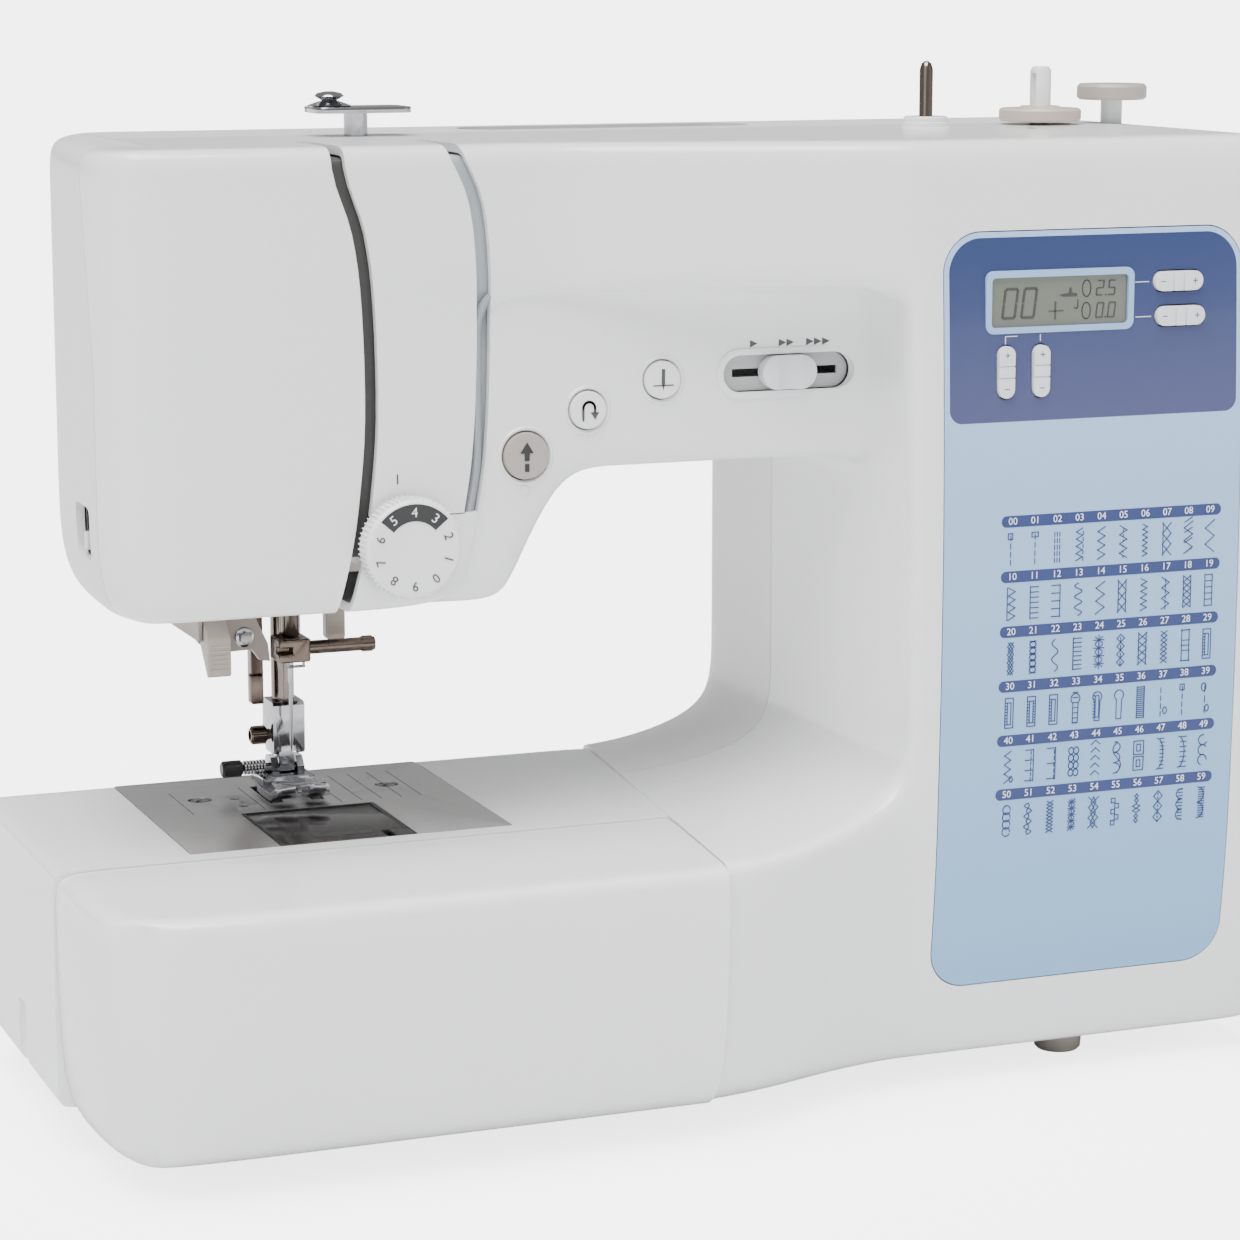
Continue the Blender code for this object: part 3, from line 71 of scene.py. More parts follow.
def plan_centre(node):
    """Centre of a node seen from above."""
    box = span(node)
    return middle(box[0]), middle(box[1])


def grown(pair, by):
    """A range made wider at both ends, or narrower where by is negative."""
    return pair[0] - by, pair[1] + by


def about(centre, half):
    """The range a half width to either side of a centre."""
    return centre - half, centre + half


front, bed, arm = (span(node) for node in ("front_cover", "needle_plate", "free_arm_cover"))
X_END, X_RIGHT = arm[0][0], front[0][1]
HEAD_X = front[0][0]
FLOOR_Z, BED_TOP, ARM_TOP = front[2][0], bed[2][1], front[2][1]
NEEDLE_X, NEEDLE_Y = plan_centre("needle")
PILLAR_X, ARM_UNDER, HEAD_UNDER = NEEDLE_X + 156.0, BED_TOP + 107.0, BED_TOP + 70.0
Y_BED, Y_BACK = span("flat_bed_attachment")[1][0], span("presser_lever")[1][1] - 3.5
Y_HEAD, Y_RECESS, SPLIT, Y_FREE = -37.0, -33.0, 34.0, -24.0
RECESS_TOP = ARM_TOP - 42.0
SEAM = 0.4
WALL, LINING = 2.5, 3.2
THROUGH = about(BED_TOP, 5)  # heights that pass the needle plate
print("bed top", round(BED_TOP, 1), "arm top", round(ARM_TOP, 1), "needle at", round(NEEDLE_X, 1))

# %% [markdown]
# ## Small shapes
# Most small pieces are one of three things: an outline pushed along an axis, a profile turned
# round an axis, or a box. These helpers make each one as a closed bmesh.

# %% Outlines and prisms
def place(axis, along, across):
    u, v = across
    return {"x": (along, u, v), "y": (u, along, v), "z": (u, v, along)}[axis]


def closed(bm):
    bmesh.ops.recalc_face_normals(bm, faces=bm.faces)
    return bm


def shifted(pairs, u=0.0, v=0.0):
    """Moves an outline or a profile that is written from its own zero."""
    return [(u + a, v + b) for a, b in pairs]


def prism(outline, axis, low, high):
    bm = bmesh.new()
    base = bm.faces.new([bm.verts.new(place(axis, low, p)) for p in outline])
    top = bmesh.ops.extrude_face_region(bm, geom=[base])["geom"]
    step = Vector(place(axis, high - low, (0, 0)))
    bmesh.ops.translate(bm, vec=step, verts=[g for g in top if isinstance(g, bmesh.types.BMVert)])
    return closed(bm)


def block(x, y, z):
    return prism([(x[0], y[0]), (x[1], y[0]), (x[1], y[1]), (x[0], y[1])], "z", z[0], z[1])


def circle(centre, radius, sides=48):
    steps = [math.tau * (k + 0.5) / sides for k in range(sides)]
    return [(centre[0] + radius * math.cos(a), centre[1] + radius * math.sin(a)) for a in steps]


def rod(axis, centre, radius, low, high, sides=48):
    return prism(circle(centre, radius, sides), axis, low, high)


def rounded(u, v, radius, steps=8):
    outline = []
    for cu, cv, turn in ((u[1], v[1], 0), (u[0], v[1], 90), (u[0], v[0], 180), (u[1], v[0], 270)):
        centre = (cu - math.copysign(radius, cu - sum(u) / 2),
                  cv - math.copysign(radius, cv - sum(v) / 2))
        for k in range(steps + 1):
            a = math.radians(turn + 90 * k / steps)
            outline.append((centre[0] + radius * math.cos(a), centre[1] + radius * math.sin(a)))
    return outline


def stadium(x, z, half, tall):
    """Slot outline of a half length and a half height about a centre."""
    radius = min(half, tall) - 0.01
    return rounded(about(x, half), about(z, tall), radius, 10)


# %% Turned shapes and joined shapes
def turned(axis, centre, profile, sides=64):
    """Profile is a loop of (radius, station along the axis)."""
    bm = bmesh.new()
    rings = []
    for radius, along in profile:
        if radius < 1e-6:
            rings.append([bm.verts.new(place(axis, along, centre))])
        else:
            rings.append([bm.verts.new(place(axis, along, p)) for p in circle(centre, radius,
                sides)])
    for first, second in zip(rings, rings[1:] + rings[:1]):
        for k in range(sides):
            n = (k + 1) % sides
            loop = [first[k % len(first)], first[n % len(first)],
                    second[n % len(second)], second[k % len(second)]]
            unique = list(dict.fromkeys(loop))
            if len(unique) > 2:
                bm.faces.new(unique)
    return closed(bm)


def peg(axis, centre, radius, low, high, sides):
    return turned(axis, centre, [(0, low), (radius, low), (radius, high), (0, high)], sides)


def together(shapes):
    """Several closed shapes in one bmesh."""
    bm = bmesh.new()
    for shape in shapes:
        mesh = bpy.data.meshes.new("part")
        shape.to_mesh(mesh)
        shape.free()
        bm.from_mesh(mesh)
        bpy.data.meshes.remove(mesh)
    return bm


print("helpers ready")

# %% [markdown]
# ## From a bmesh to a finished piece
# `piece` scales a shape to metres, cuts it, rounds its sharp edges with a Bevel modifier that is
# applied at once, shades it smooth and hands it to the body that carries it. Cutting goes through
# the Boolean modifier: its fast solver wants closed shapes, which is what the helpers make.

# %% Objects, cuts and edges
def raw_object(name, bm):
    mesh = bpy.data.meshes.new(name)
    bm.to_mesh(mesh)
    bm.free()
    obj = bpy.data.objects.new(name, mesh)
    bpy.context.scene.collection.objects.link(obj)
    return obj


def settle(obj):
    """Applies an object's modifiers to its mesh."""
    evaluated = obj.evaluated_get(bpy.context.evaluated_depsgraph_get())
    result = bpy.data.meshes.new_from_object(evaluated)
    obj.modifiers.clear()
    old, obj.data = obj.data, result
    bpy.data.meshes.remove(old)


def combine(obj, shape, operation, solver="MANIFOLD"):
    tool = raw_object("tool", shape)
    modifier = obj.modifiers.new(operation, "BOOLEAN")
    modifier.operation = operation
    modifier.solver = solver
    modifier.object = tool
    settle(obj)
    bpy.data.objects.remove(tool, do_unlink=True)


def carve(obj, *shapes):
    """Cuts closed shapes out of an object, one after another."""
    for shape in shapes:
        combine(obj, shape, "DIFFERENCE")


def soften(obj, width, segments=3, angle=35.0):
    """Rounds the sharp edges of an object."""
    modifier = obj.modifiers.new("edge", "BEVEL")
    modifier.width = width
    modifier.segments = segments
    modifier.limit_method = "ANGLE"
    modifier.angle_limit = math.radians(angle)
    modifier.use_clamp_overlap = True
    settle(obj)


def finish_piece(obj, name, body, material, nodes=(), angle=40.0):
    """Metres, smooth shading, material, body and the CAD nodes it stands for."""
    obj.name = name
    obj.data.name = name
    obj.data.transform(Matrix.Scale(MM, 4))
    obj.data.materials.clear()
    obj.data.materials.append(material)
    for polygon in obj.data.polygons:
        polygon.material_index = 0
    obj.data.shade_smooth()
    obj.data.set_sharp_from_angle(angle=math.radians(angle))
    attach(obj, body)
    if nodes:
        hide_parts(*nodes)
    return obj


def piece(name, body, material, shape, add=(), cut=(), edge=0.0, segments=3, nodes=(),
          angle=40.0):
    obj = raw_object(name, shape)
    for extra in add:
        combine(obj, extra, "UNION")
    carve(obj, *cut)
    if edge:
        soften(obj, edge, segments)
    return finish_piece(obj, name, body, material, nodes, angle)


print("workshop ready")

# %% [markdown]
# ## Finishes
# Moulded plastic is never one flat colour. Its gloss changes a little from place to place and its
# skin has a very fine grain, which a noise texture gives through roughness and bump. Brushed metal
# uses the same idea with the noise stretched along one direction, and plated metal is a metal with
# a low roughness that wanders. Every pattern reads Object coordinates, so it stays on the piece.

# %% Moulded plastic and metal
def new_material(name):
    material = bpy.data.materials.new(name)
    material.use_nodes = True
    tree = material.node_tree
    shader = tree.nodes["Principled BSDF"]
    coords = tree.nodes.new("ShaderNodeTexCoord")
    return material, tree, shader, coords


def noise(tree, coords, scale, detail=3.0, stretch=(1.0, 1.0, 1.0)):
    mapping = tree.nodes.new("ShaderNodeMapping")
    mapping.inputs["Scale"].default_value = stretch
    texture = tree.nodes.new("ShaderNodeTexNoise")
    texture.inputs["Scale"].default_value = scale
    texture.inputs["Detail"].default_value = detail
    tree.links.new(coords.outputs["Object"], mapping.inputs["Vector"])
    tree.links.new(mapping.outputs["Vector"], texture.inputs["Vector"])
    return texture.outputs["Fac"]


def spread(tree, value, low, high):
    """Maps a 0 to 1 value onto a range."""
    node = tree.nodes.new("ShaderNodeMapRange")
    node.inputs["To Min"].default_value = low
    node.inputs["To Max"].default_value = high
    tree.links.new(value, node.inputs["Value"])
    return node.outputs["Result"]


def blend_colours(tree, factor, first, second):
    node = tree.nodes.new("ShaderNodeMix")
    node.data_type = "RGBA"
    for socket, colour in zip(node.inputs[6:8], (first, second)):
        if isinstance(colour, tuple):
            socket.default_value = (*colour, 1.0)
        else:
            tree.links.new(colour, socket)
    tree.links.new(factor, node.inputs[0])
    return node.outputs[2]


def bump(tree, shader, height, strength, distance):
    node = tree.nodes.new("ShaderNodeBump")
    node.inputs["Strength"].default_value = strength
    node.inputs["Distance"].default_value = distance
    tree.links.new(height, node.inputs["Height"])
    tree.links.new(node.outputs["Normal"], shader.inputs["Normal"])


def plastic(name, light, dark, gloss=(0.22, 0.34), grain=900.0, depth=0.00003, coat=0.0):
    """Moulded plastic between two close tones."""
    material, tree, shader, coords = new_material(name)
    wide = noise(tree, coords, 14.0)
    tone = blend_colours(tree, wide, light, dark)
    tree.links.new(tone, shader.inputs["Base Color"])
    tree.links.new(spread(tree, wide, *gloss), shader.inputs["Roughness"])
    shader.inputs["Coat Weight"].default_value = coat
    shader.inputs["Coat Roughness"].default_value = 0.08
    bump(tree, shader, noise(tree, coords, grain, 2.0), 0.35, depth)
    return material


def metal(name, light, dark, rough, stretch=(1.0, 1.0, 1.0), scale=700.0, depth=0.00002):
    """Metal whose noise may be drawn out along one direction, as brushing does."""
    material, tree, shader, coords = new_material(name)
    lines = noise(tree, coords, scale, 4.0, stretch)
    tree.links.new(blend_colours(tree, lines, light, dark), shader.inputs["Base Color"])
    tree.links.new(spread(tree, lines, *rough), shader.inputs["Roughness"])
    shader.inputs["Metallic"].default_value = 1.0
    bump(tree, shader, lines, 0.3, depth)
    return material


# %% The set of finishes
WHITE = plastic("white_moulding", (0.86, 0.865, 0.87), (0.825, 0.83, 0.84), (0.16, 0.26), coat=0.25)
# A slightly darker copy of the white moulding. On the rear cover, seen in the throat, this darker
# tone is painted shade. The end cover, handwheel, winder shaft and cutter post share the same tone.
DARKER_WHITE = plastic("darker_white_moulding", (0.80, 0.80, 0.795), (0.765, 0.765, 0.76), (0.24, 0.36), coat=0.1)
PALE = plastic("pale_keys", (0.76, 0.78, 0.80), (0.70, 0.72, 0.745), (0.2, 0.3), coat=0.2)
GREY = plastic("grey_moulding", (0.36, 0.36, 0.37), (0.31, 0.31, 0.32), (0.35, 0.5))
TRACK = plastic("track_grey", (0.46, 0.46, 0.47), (0.40, 0.40, 0.41), (0.35, 0.5))
TAUPE = plastic("taupe_moulding", (0.40, 0.365, 0.335), (0.35, 0.315, 0.29), (0.3, 0.45))
BEIGE = plastic("beige_moulding", (0.50, 0.435, 0.38), (0.44, 0.38, 0.335), (0.32, 0.46))
BEIGE_DARK = plastic("bracket_beige", (0.30, 0.255, 0.22), (0.25, 0.21, 0.185), (0.3, 0.45))
BLACK = plastic("black_moulding", (0.012, 0.012, 0.013), (0.02, 0.02, 0.021), (0.25, 0.4))
DARK = plastic("slot_shade", (0.035, 0.033, 0.032), (0.05, 0.048, 0.046), (0.4, 0.6))
CHANNEL = plastic("channel_grey", (0.40, 0.43, 0.45), (0.34, 0.37, 0.39), (0.3, 0.45))
RUBBER = plastic("foot_rubber", (0.44, 0.40, 0.37), (0.38, 0.345, 0.32), (0.65, 0.85), 500.0,
                 0.00008)
MARK_BLUE = plastic("mark_blue", (0.018, 0.036, 0.15), (0.022, 0.042, 0.17), (0.3, 0.4))
MARK_WHITE = plastic("mark_white", (0.80, 0.83, 0.88), (0.76, 0.79, 0.85), (0.3, 0.4))
MARK_GREY = plastic("mark_grey", (0.055, 0.055, 0.06), (0.075, 0.075, 0.08), (0.35, 0.5))
CHROME = metal("chrome_plate", (0.50, 0.50, 0.52), (0.40, 0.40, 0.42), (0.06, 0.16))
STEEL = metal("turned_steel", (0.33, 0.325, 0.32), (0.25, 0.245, 0.24), (0.2, 0.34))
PLATE = metal("brushed_plate", (0.80, 0.79, 0.785), (0.66, 0.65, 0.645), (0.24, 0.42),
              (1.0, 26.0, 26.0), 90.0)
BRONZE = metal("bronze_plate", (0.20, 0.155, 0.125), (0.12, 0.095, 0.08), (0.18, 0.34), scale=160.0)
BAR = metal("bar_steel", (0.27, 0.225, 0.20), (0.19, 0.16, 0.14), (0.14, 0.26), (9.0, 9.0, 1.0),
            120.0)
IRON = metal("cast_aluminium", (0.42, 0.42, 0.43), (0.34, 0.34, 0.35), (0.45, 0.65), scale=300.0)
print(len(bpy.data.materials), "materials so far")

# %% [markdown]
# ## The housing
# The body of the machine is one C-shaped moulding of bed, pillar, arm and head. Its faces are
# slightly full and all its edges are soft. A good way to such a shape is a coarse cage of bent
# cells, filled where there is material, whose skin a Subdivision Surface modifier turns into a
# smooth one: two cage lines close together make a tight edge, far apart a soft one. Solidify then
# makes the wall, and the separate covers are cut out of that one skin, so they meet flush.

# %% A cage of bent cells
def cage(name, counts, filled, point, levels=3):
    """Smooth closed skin round the filled cells; point gives the place of a cage corner."""
    bm = bmesh.new()
    corners = {}

    def corner(*key):
        if key not in corners:
            corners[key] = bm.verts.new(point(*key))
        return corners[key]

    def solid(i, j, k):
        return all(0 <= v < n for v, n in zip((i, j, k), counts)) and filled(i, j, k)

    sides = {(-1, 0, 0): ((0, 0, 0), (0, 1, 0), (0, 1, 1), (0, 0, 1)),
             (1, 0, 0): ((1, 0, 0), (1, 1, 0), (1, 1, 1), (1, 0, 1)),
             (0, -1, 0): ((0, 0, 0), (1, 0, 0), (1, 0, 1), (0, 0, 1)),
             (0, 1, 0): ((0, 1, 0), (1, 1, 0), (1, 1, 1), (0, 1, 1)),
             (0, 0, -1): ((0, 0, 0), (1, 0, 0), (1, 1, 0), (0, 1, 0)),
             (0, 0, 1): ((0, 0, 1), (1, 0, 1), (1, 1, 1), (0, 1, 1))}
    for i in range(counts[0]):
        for j in range(counts[1]):
            for k in range(counts[2]):
                if solid(i, j, k):
                    for (di, dj, dk), quad in sides.items():
                        if not solid(i + di, j + dj, k + dk):
                            bm.faces.new([corner(i + a, j + b, k + c) for a, b, c in quad])
    obj = raw_object(name, closed(bm))
    smooth = obj.modifiers.new("smooth", "SUBSURF")
    smooth.levels = smooth.render_levels = levels
    settle(obj)
    return obj


def smooth_step(t):
    t = min(max(t, 0.0), 1.0)
    return t * t * (3 - 2 * t)


def seam_x(y):
    """Joint of the bed and what stands left of it, which leans a little in plan."""
    return Y_BED * -0.12 + 0.12 * y - 24.0


# %% Front and back of the bed and the pillar
BED_ROWS = [FLOOR_Z, FLOOR_Z + 11, FLOOR_Z + 38, BED_TOP - 9, BED_TOP]
TUCK = [21.0, 7.0, 1.2, 0.0, 0.0]


def pillar_front(z):
    half = (ARM_TOP - FLOOR_Z) / 2
    return -62.0 - 6.0 * (1 - ((z - FLOOR_Z - half) / half) ** 2)


def bed_front(x, row):
    """Front of the bed at one of its cage rows, sweeping back to the pillar."""
    share = smooth_step((x + 24.0) / (PILLAR_X + 24.0))
    return Y_BED + (pillar_front(BED_ROWS[row]) - Y_BED) * share + TUCK[row] * (1 - 0.5 * share)


def bed_lines(x, row):
    """The cage's lines from front to back at a place on the bed."""
    start = bed_front(x, row)
    back = 80.0 + (Y_BACK - 80.0) * min(max((x + 3.0) / (PILLAR_X + 3.0), 0.0), 1.0)
    return [start, start + 9.0, start + 32.0, -10.0, SPLIT + 6, back - 10.0, back]


# %% Corners of the housing's cage
COLUMNS = [HEAD_X, HEAD_X + 11, NEEDLE_X - 17, NEEDLE_X + 37, NEEDLE_X + 62, -36.0, -10.0, 18.0,
           PILLAR_X, PILLAR_X + 11, PILLAR_X + 65, X_RIGHT - 13, X_RIGHT]
ROWS = BED_ROWS + [BED_TOP + 22, HEAD_UNDER, HEAD_UNDER + 11, ARM_UNDER, ARM_UNDER + 9,
                   RECESS_TOP - 16, RECESS_TOP, RECESS_TOP + 14, ARM_TOP - 11, ARM_TOP]
SLANT = {6: (-8.0, -19.0), 7: (-6.0, -13.4)}


def column_at(i, j):
    x = COLUMNS[i]
    if j <= 4 and i == 5:
        return -60.0
    if i in (3, 4) and j in SLANT:
        return x + SLANT[j][i - 3]
    if i == 0 and j == 6:
        return x + 5.0
    if i == 11 and j >= 13:
        return x - 11.0
    return x


def row_at(i, j):
    z = ROWS[j]
    if j == 4 and i in (7, 8):
        z += {7: 2.6, 8: 11.0}[i]
    elif j == 5 and i >= 8:
        z += 10.0
    elif j == 7 and i >= 5:
        z += 13.0
    elif j == 13 and i >= 11:
        z -= 13.0
    return z


def housing_point(i, j, k):
    x, z = column_at(i, j), row_at(i, j)
    if j <= 4:
        return (x, bed_lines(x, j)[k], z)
    share = min(max((x - COLUMNS[4]) / (PILLAR_X - COLUMNS[4]), 0.0), 1.0)
    start = Y_HEAD + (pillar_front(z) - Y_HEAD) * share
    if i == 2 and j > 6:
        start -= 1.0
    recessed = 3 <= i <= 8 and 5 <= j <= 11
    floor = Y_RECESS if recessed else -16.0 if i <= 2 else -24.0
    if i == 3 and j <= 11:
        start = Y_RECESS - 1.4
    near = start + 9.0
    if recessed:
        near = min(near, (start + floor) / 2)
    lines = [start, near, floor, floor + 8.0, SPLIT + 6, Y_BACK - 11.0, Y_BACK]
    if i == 0:
        x += (8.0, 2.5, 0.0, 0.0, 2.0, 14.0, 30.0)[k]
        lines[0] += 2.5
    elif i == 1:
        x += (4.0, 2.0, 0.0, 0.0, 1.0, 10.0, 26.0)[k]
    return (x, lines[k], z)


def housing_filled(i, k, j):
    bed_part = i >= 5 and j <= 3
    head_part = i <= 3 and j in (6, 7)
    recess = 3 <= i <= 7 and 6 <= j <= 10 and k <= 1
    return (bed_part or head_part or i >= 8 or j >= 8) and not recess


# %% Skin and wall of the housing
housing = cage("housing", (12, 6, 14), housing_filled, lambda i, k, j: housing_point(i, j, k))
skin_tree = BVHTree.FromPolygons([v.co.copy() for v in housing.data.vertices],
                                 [list(p.vertices) for p in housing.data.polygons])
lining = bpy.data.objects.new("lining", housing.data.copy())
bpy.context.scene.collection.objects.link(lining)
inward = lining.modifiers.new("inward", "DISPLACE")
inward.strength, inward.mid_level = -LINING, 0.0
wall = lining.modifiers.new("wall", "SOLIDIFY")
wall.thickness, wall.offset = 1.0, -1.0
settle(lining)
wall = housing.modifiers.new("wall", "SOLIDIFY")
wall.thickness = WALL
wall.offset = -1.0
wall.use_even_offset = False
settle(housing)
print("housing", len(housing.data.polygons), "faces,",
      [round(v, 1) for v in housing.dimensions], "mm")


def front_skin(x, z):
    """Y of the housing's front at a place seen from the operator's side."""
    hit = skin_tree.ray_cast(Vector((x, -FAR, z)), Vector((0, 1, 0)))
    return hit[0].y


def top_skin(x, y):
    return skin_tree.ray_cast(Vector((x, y, FAR)), Vector((0, 0, -1)))[0].z


# %% [markdown]
# ## Covers
# Each cover keeps one region of the housing's skin. A gap of under half a millimetre is left all
# round, as between real mouldings, and it is this gap that draws the dark joint lines.

# %% Regions of the covers
END_X, END_Y = HEAD_X + 20.0, -20.0
CHANNEL_BACK, CHANNEL_LOW = -6.0, HEAD_UNDER + 27.0
DIAL = (middle(span("tension_dial")[0]), middle(span("tension_dial")[2]))
PANEL_X, _, PANEL_Z = span("control_panel")
PANEL_X = (PANEL_X[0] - 2.4, PANEL_X[1])
KEYS = ["stitch_tens_key", "stitch_units_key", "stitch_length_key", "stitch_width_key"]
BUTTON_R = {"start_stop_button": 6.8, "reverse_button": 5.5, "needle_position_button": 5.5}
SPEED = (PILLAR_X - 25.5, ARM_UNDER + 26.0)
BASE_HOLE_X = (-2.5, 154.5)
FREE_OPENING = ((22.0, 77.0), (22.0, 60.0))


def node_centre(node):
    box = span(node)
    return middle(box[0]), middle(box[2])


def region_end(grow):
    outline = [(END_Y - grow, HEAD_UNDER - 20), (FAR, HEAD_UNDER - 20), (FAR, ARM_TOP + 20),
               (END_Y + 12 - grow, ARM_TOP + 20), (END_Y + 5 - grow, ARM_TOP - 20),
               (END_Y - grow, ARM_TOP - 60)]
    return prism(outline, "x", -FAR, END_X + grow)


def slot_line(pairs, half):
    """Outline of a slot that wanders from top to bottom, as a smooth curve through the pairs."""
    ends = [pairs[0], *pairs, pairs[-1]]
    curve = []
    for a, b, c, d in zip(ends, ends[1:], ends[2:], ends[3:]):
        for t in (0.0, 0.25, 0.5, 0.75):
            curve.append(tuple(0.5 * (2 * q + (r - p) * t + (2 * p - 5 * q + 4 * r - w) * t * t
                                      + (3 * q - 3 * r + w - p) * t ** 3) for p, q, r,
                               w in zip(a, b, c, d)))
    pairs = curve + [pairs[-1]]
    left = [(x - half, z) for x, z in pairs]
    right = [(x + half, z) for x, z in pairs]
    return left + right[::-1]


LEFT_SLOT = [(-119.5, 300), (-119.9, 279), (-114.4, 261), (-111.6, 240), (-111.0, 209),
             (-113.0, 186), (-115.6, 170), (-120.5, 150), (-121.5, 140)]
RIGHT_SLOT = [(-88.0, 300), (-85.9, 284), (-79.6, 268), (-76.9, 241), (-77.2, 215), (-78.6, 196),
              (-81.0, 181)]


def region_channel(grow):
    left_line, right_line = slot_line(LEFT_SLOT, 0.0), slot_line(RIGHT_SLOT, 0.0)
    left = [(x + 2.0 - grow, z) for x, z in left_line[:len(left_line) // 2] if z > CHANNEL_LOW]
    right = [(x - 2.2 + grow, z) for x, z in right_line[:len(right_line) // 2] if z > CHANNEL_LOW]
    low = CHANNEL_LOW - grow
    outline = left + [(left[-1][0] + 0.3, low), (right[-1][0], low)] + right[::-1]
    return prism(outline, "y", -FAR, CHANNEL_BACK + grow)


def regifront_skin(grow):
    outline = rounded(grown(PANEL_X, grow), grown(PANEL_Z, grow),
                      12.0 + grow, 16)
    return prism(outline, "y", -FAR, 0.0)


def seam_cut(side, y0, y1, gap):
    """Half space right (1) or left (-1) of the bed's joint, moved by a gap."""
    a, b = seam_x(y0) + side * gap, seam_x(y1) + side * gap
    return prism([(a, y0), (side * FAR, y0), (side * FAR, y1), (b, y1)], "z", -50, BED_TOP + 18)


print("regions ready; end cover from x", round(END_X, 1))

# %% Cuts shared by the covers
def copy_of(obj):
    bm = bmesh.new()
    bm.from_mesh(obj.data)
    return bm


def left_of_bed():
    """What is cut away left of the bed's joint, below the throat."""
    a, b = seam_x(-FAR) + SEAM / 2, seam_x(FAR) + SEAM / 2
    return prism([(a, -FAR), (-FAR, -FAR), (-FAR, FAR), (b, FAR)], "z", -50, BED_TOP + 18)


mouth = ((NEEDLE_X - 34.0, NEEDLE_X + 23.0), (20.0, 64.0))
winder_x, winder_y = plan_centre("bobbin_winder")
top_holes = [rod("z", plan_centre("spool_pin"), 2.8, ARM_TOP - 20, FAR, 24),
             prism(stadium(winder_x + 3.0, winder_y, 7.5, 4.5), "z", ARM_TOP - 20, FAR),
             rod("z", plan_centre("bobbin_stopper"), 3.9, ARM_TOP - 20, FAR, 24)]
switch = span("power_switch")
inlet = span("power_inlet")

# %% Front cover
front_cover = raw_object("front_cover_shell", copy_of(housing))
combine(front_cover, block((-FAR, FAR), (-FAR, SPLIT - SEAM / 2), (-FAR, FAR)), "INTERSECT")
carve(front_cover, left_of_bed())
carve(front_cover, region_end(SEAM))
slots = prism(slot_line(LEFT_SLOT, 2.0), "y", -FAR, CHANNEL_BACK + 3)
carve(front_cover, slots)
carve(front_cover, prism(slot_line(RIGHT_SLOT, 2.2), "y", -FAR, CHANNEL_BACK + 3))
carve(front_cover, region_channel(0.35))
carve(front_cover, regifront_skin(0.35))
for shape in top_holes:
    carve(front_cover, shape.copy())
carve(front_cover, prism(stadium(*SPEED, 20.5, 5.6), "y", -FAR, 0.0))
carve(front_cover, rod("y", DIAL, 6.0, -FAR, 0.0))
for name, radius in BUTTON_R.items():
    spot = node_centre(name)
    carve(front_cover, rod("y", spot, radius + 0.45, -FAR, 0.0))
combine(front_cover, block((X_RIGHT - 20, FAR), grown(switch[1], 1.0),
                           grown(switch[2], 1.2)), "DIFFERENCE")
carve(front_cover, block((-70.0, 20.0), *FREE_OPENING))
carve(front_cover, block(*mouth, (HEAD_UNDER - 20, HEAD_UNDER + 12)))
carve(front_cover, block(BASE_HOLE_X, (-40.5, FAR), (-FAR, FLOOR_Z + 4)))
finish_piece(front_cover, "front_cover_shell", "root", WHITE, ["front_cover"], 32.0)
print("front cover", len(front_cover.data.polygons), "faces")

# %% Rear cover and end cover
rear_cover = raw_object("rear_cover_shell", copy_of(housing))
combine(rear_cover, block((-FAR, FAR), (SPLIT + SEAM / 2, FAR), (-FAR, FAR)), "INTERSECT")
carve(rear_cover, left_of_bed())
carve(rear_cover, region_end(SEAM))
grip_x = (NEEDLE_X + 62.0 + PILLAR_X) / 2
lever = (NEEDLE_X + 17.0, HEAD_UNDER + 16.0)
shaft = (middle(span("upper_shaft")[1]), middle(span("handwheel")[2]))
for shape in (prism(stadium(grip_x, SPLIT + 25.0, 48.0, 11.0), "z", ARM_TOP - 20, FAR),
              rod("y", lever, 4.6, 0.0, FAR, 32),
              rod("x", shaft, 6.5, X_RIGHT - 20, FAR, 32),
              block((X_RIGHT - 20, FAR), grown(inlet[1], 0.3),
                    grown(inlet[2], 0.3)),
              block((-70.0, 20.0), *FREE_OPENING),
              block(BASE_HOLE_X, (-FAR, 64.5), (-FAR, FLOOR_Z + 4)),
              block(*mouth, (HEAD_UNDER - 20, HEAD_UNDER + 12))):
    carve(rear_cover, shape)
# The rear cover takes the darker white, which is painted shade for the throat it faces.
finish_piece(rear_cover, "rear_cover_shell", "root", DARKER_WHITE, ["rear_cover"], 32.0)

cutter_y, cutter_z = (-14.0, 4.0), (HEAD_UNDER + 16.0, HEAD_UNDER + 31.0)
end_cover = raw_object("end_cover_shell", copy_of(housing))
combine(end_cover, region_end(0.0), "INTERSECT")
carve(end_cover, prism(rounded(cutter_y, cutter_z, 2.5), "x", HEAD_X - 20, HEAD_X + 6))
finish_piece(end_cover, "end_cover_shell", "root", DARKER_WHITE, ["end_cover"], 32.0)

channel_cover = raw_object("channel_cover_shell", copy_of(housing))
combine(channel_cover, region_channel(0.0), "INTERSECT")
finish_piece(channel_cover, "channel_cover_shell", "root", WHITE, ["channel_cover"],
             32.0)
for name, material, pairs in (("left_channel", DARK, LEFT_SLOT),
                              ("right_channel", CHANNEL, RIGHT_SLOT)):
    strip = raw_object(name, copy_of(lining))
    combine(strip, prism(slot_line([p for p in pairs if p[1] > HEAD_UNDER + 3], 4.0), "y", -FAR,
                         CHANNEL_BACK + 6), "INTERSECT")
    finish_piece(strip, name, "root", material, angle=32.0)
bpy.data.objects.remove(lining, do_unlink=True)
print("rear, end and channel covers done")

# %% [markdown]
# ## Control panel
# The panel is a printed film over the pillar's front. Its light blue runs a little darker towards
# the bottom, and a dark blue field surrounds the display and the keys. Both are one material: a
# signed distance to the field's rounded outline, worked out from Object coordinates with Math
# nodes, chooses between the two inks, so the print stays sharp at any size.

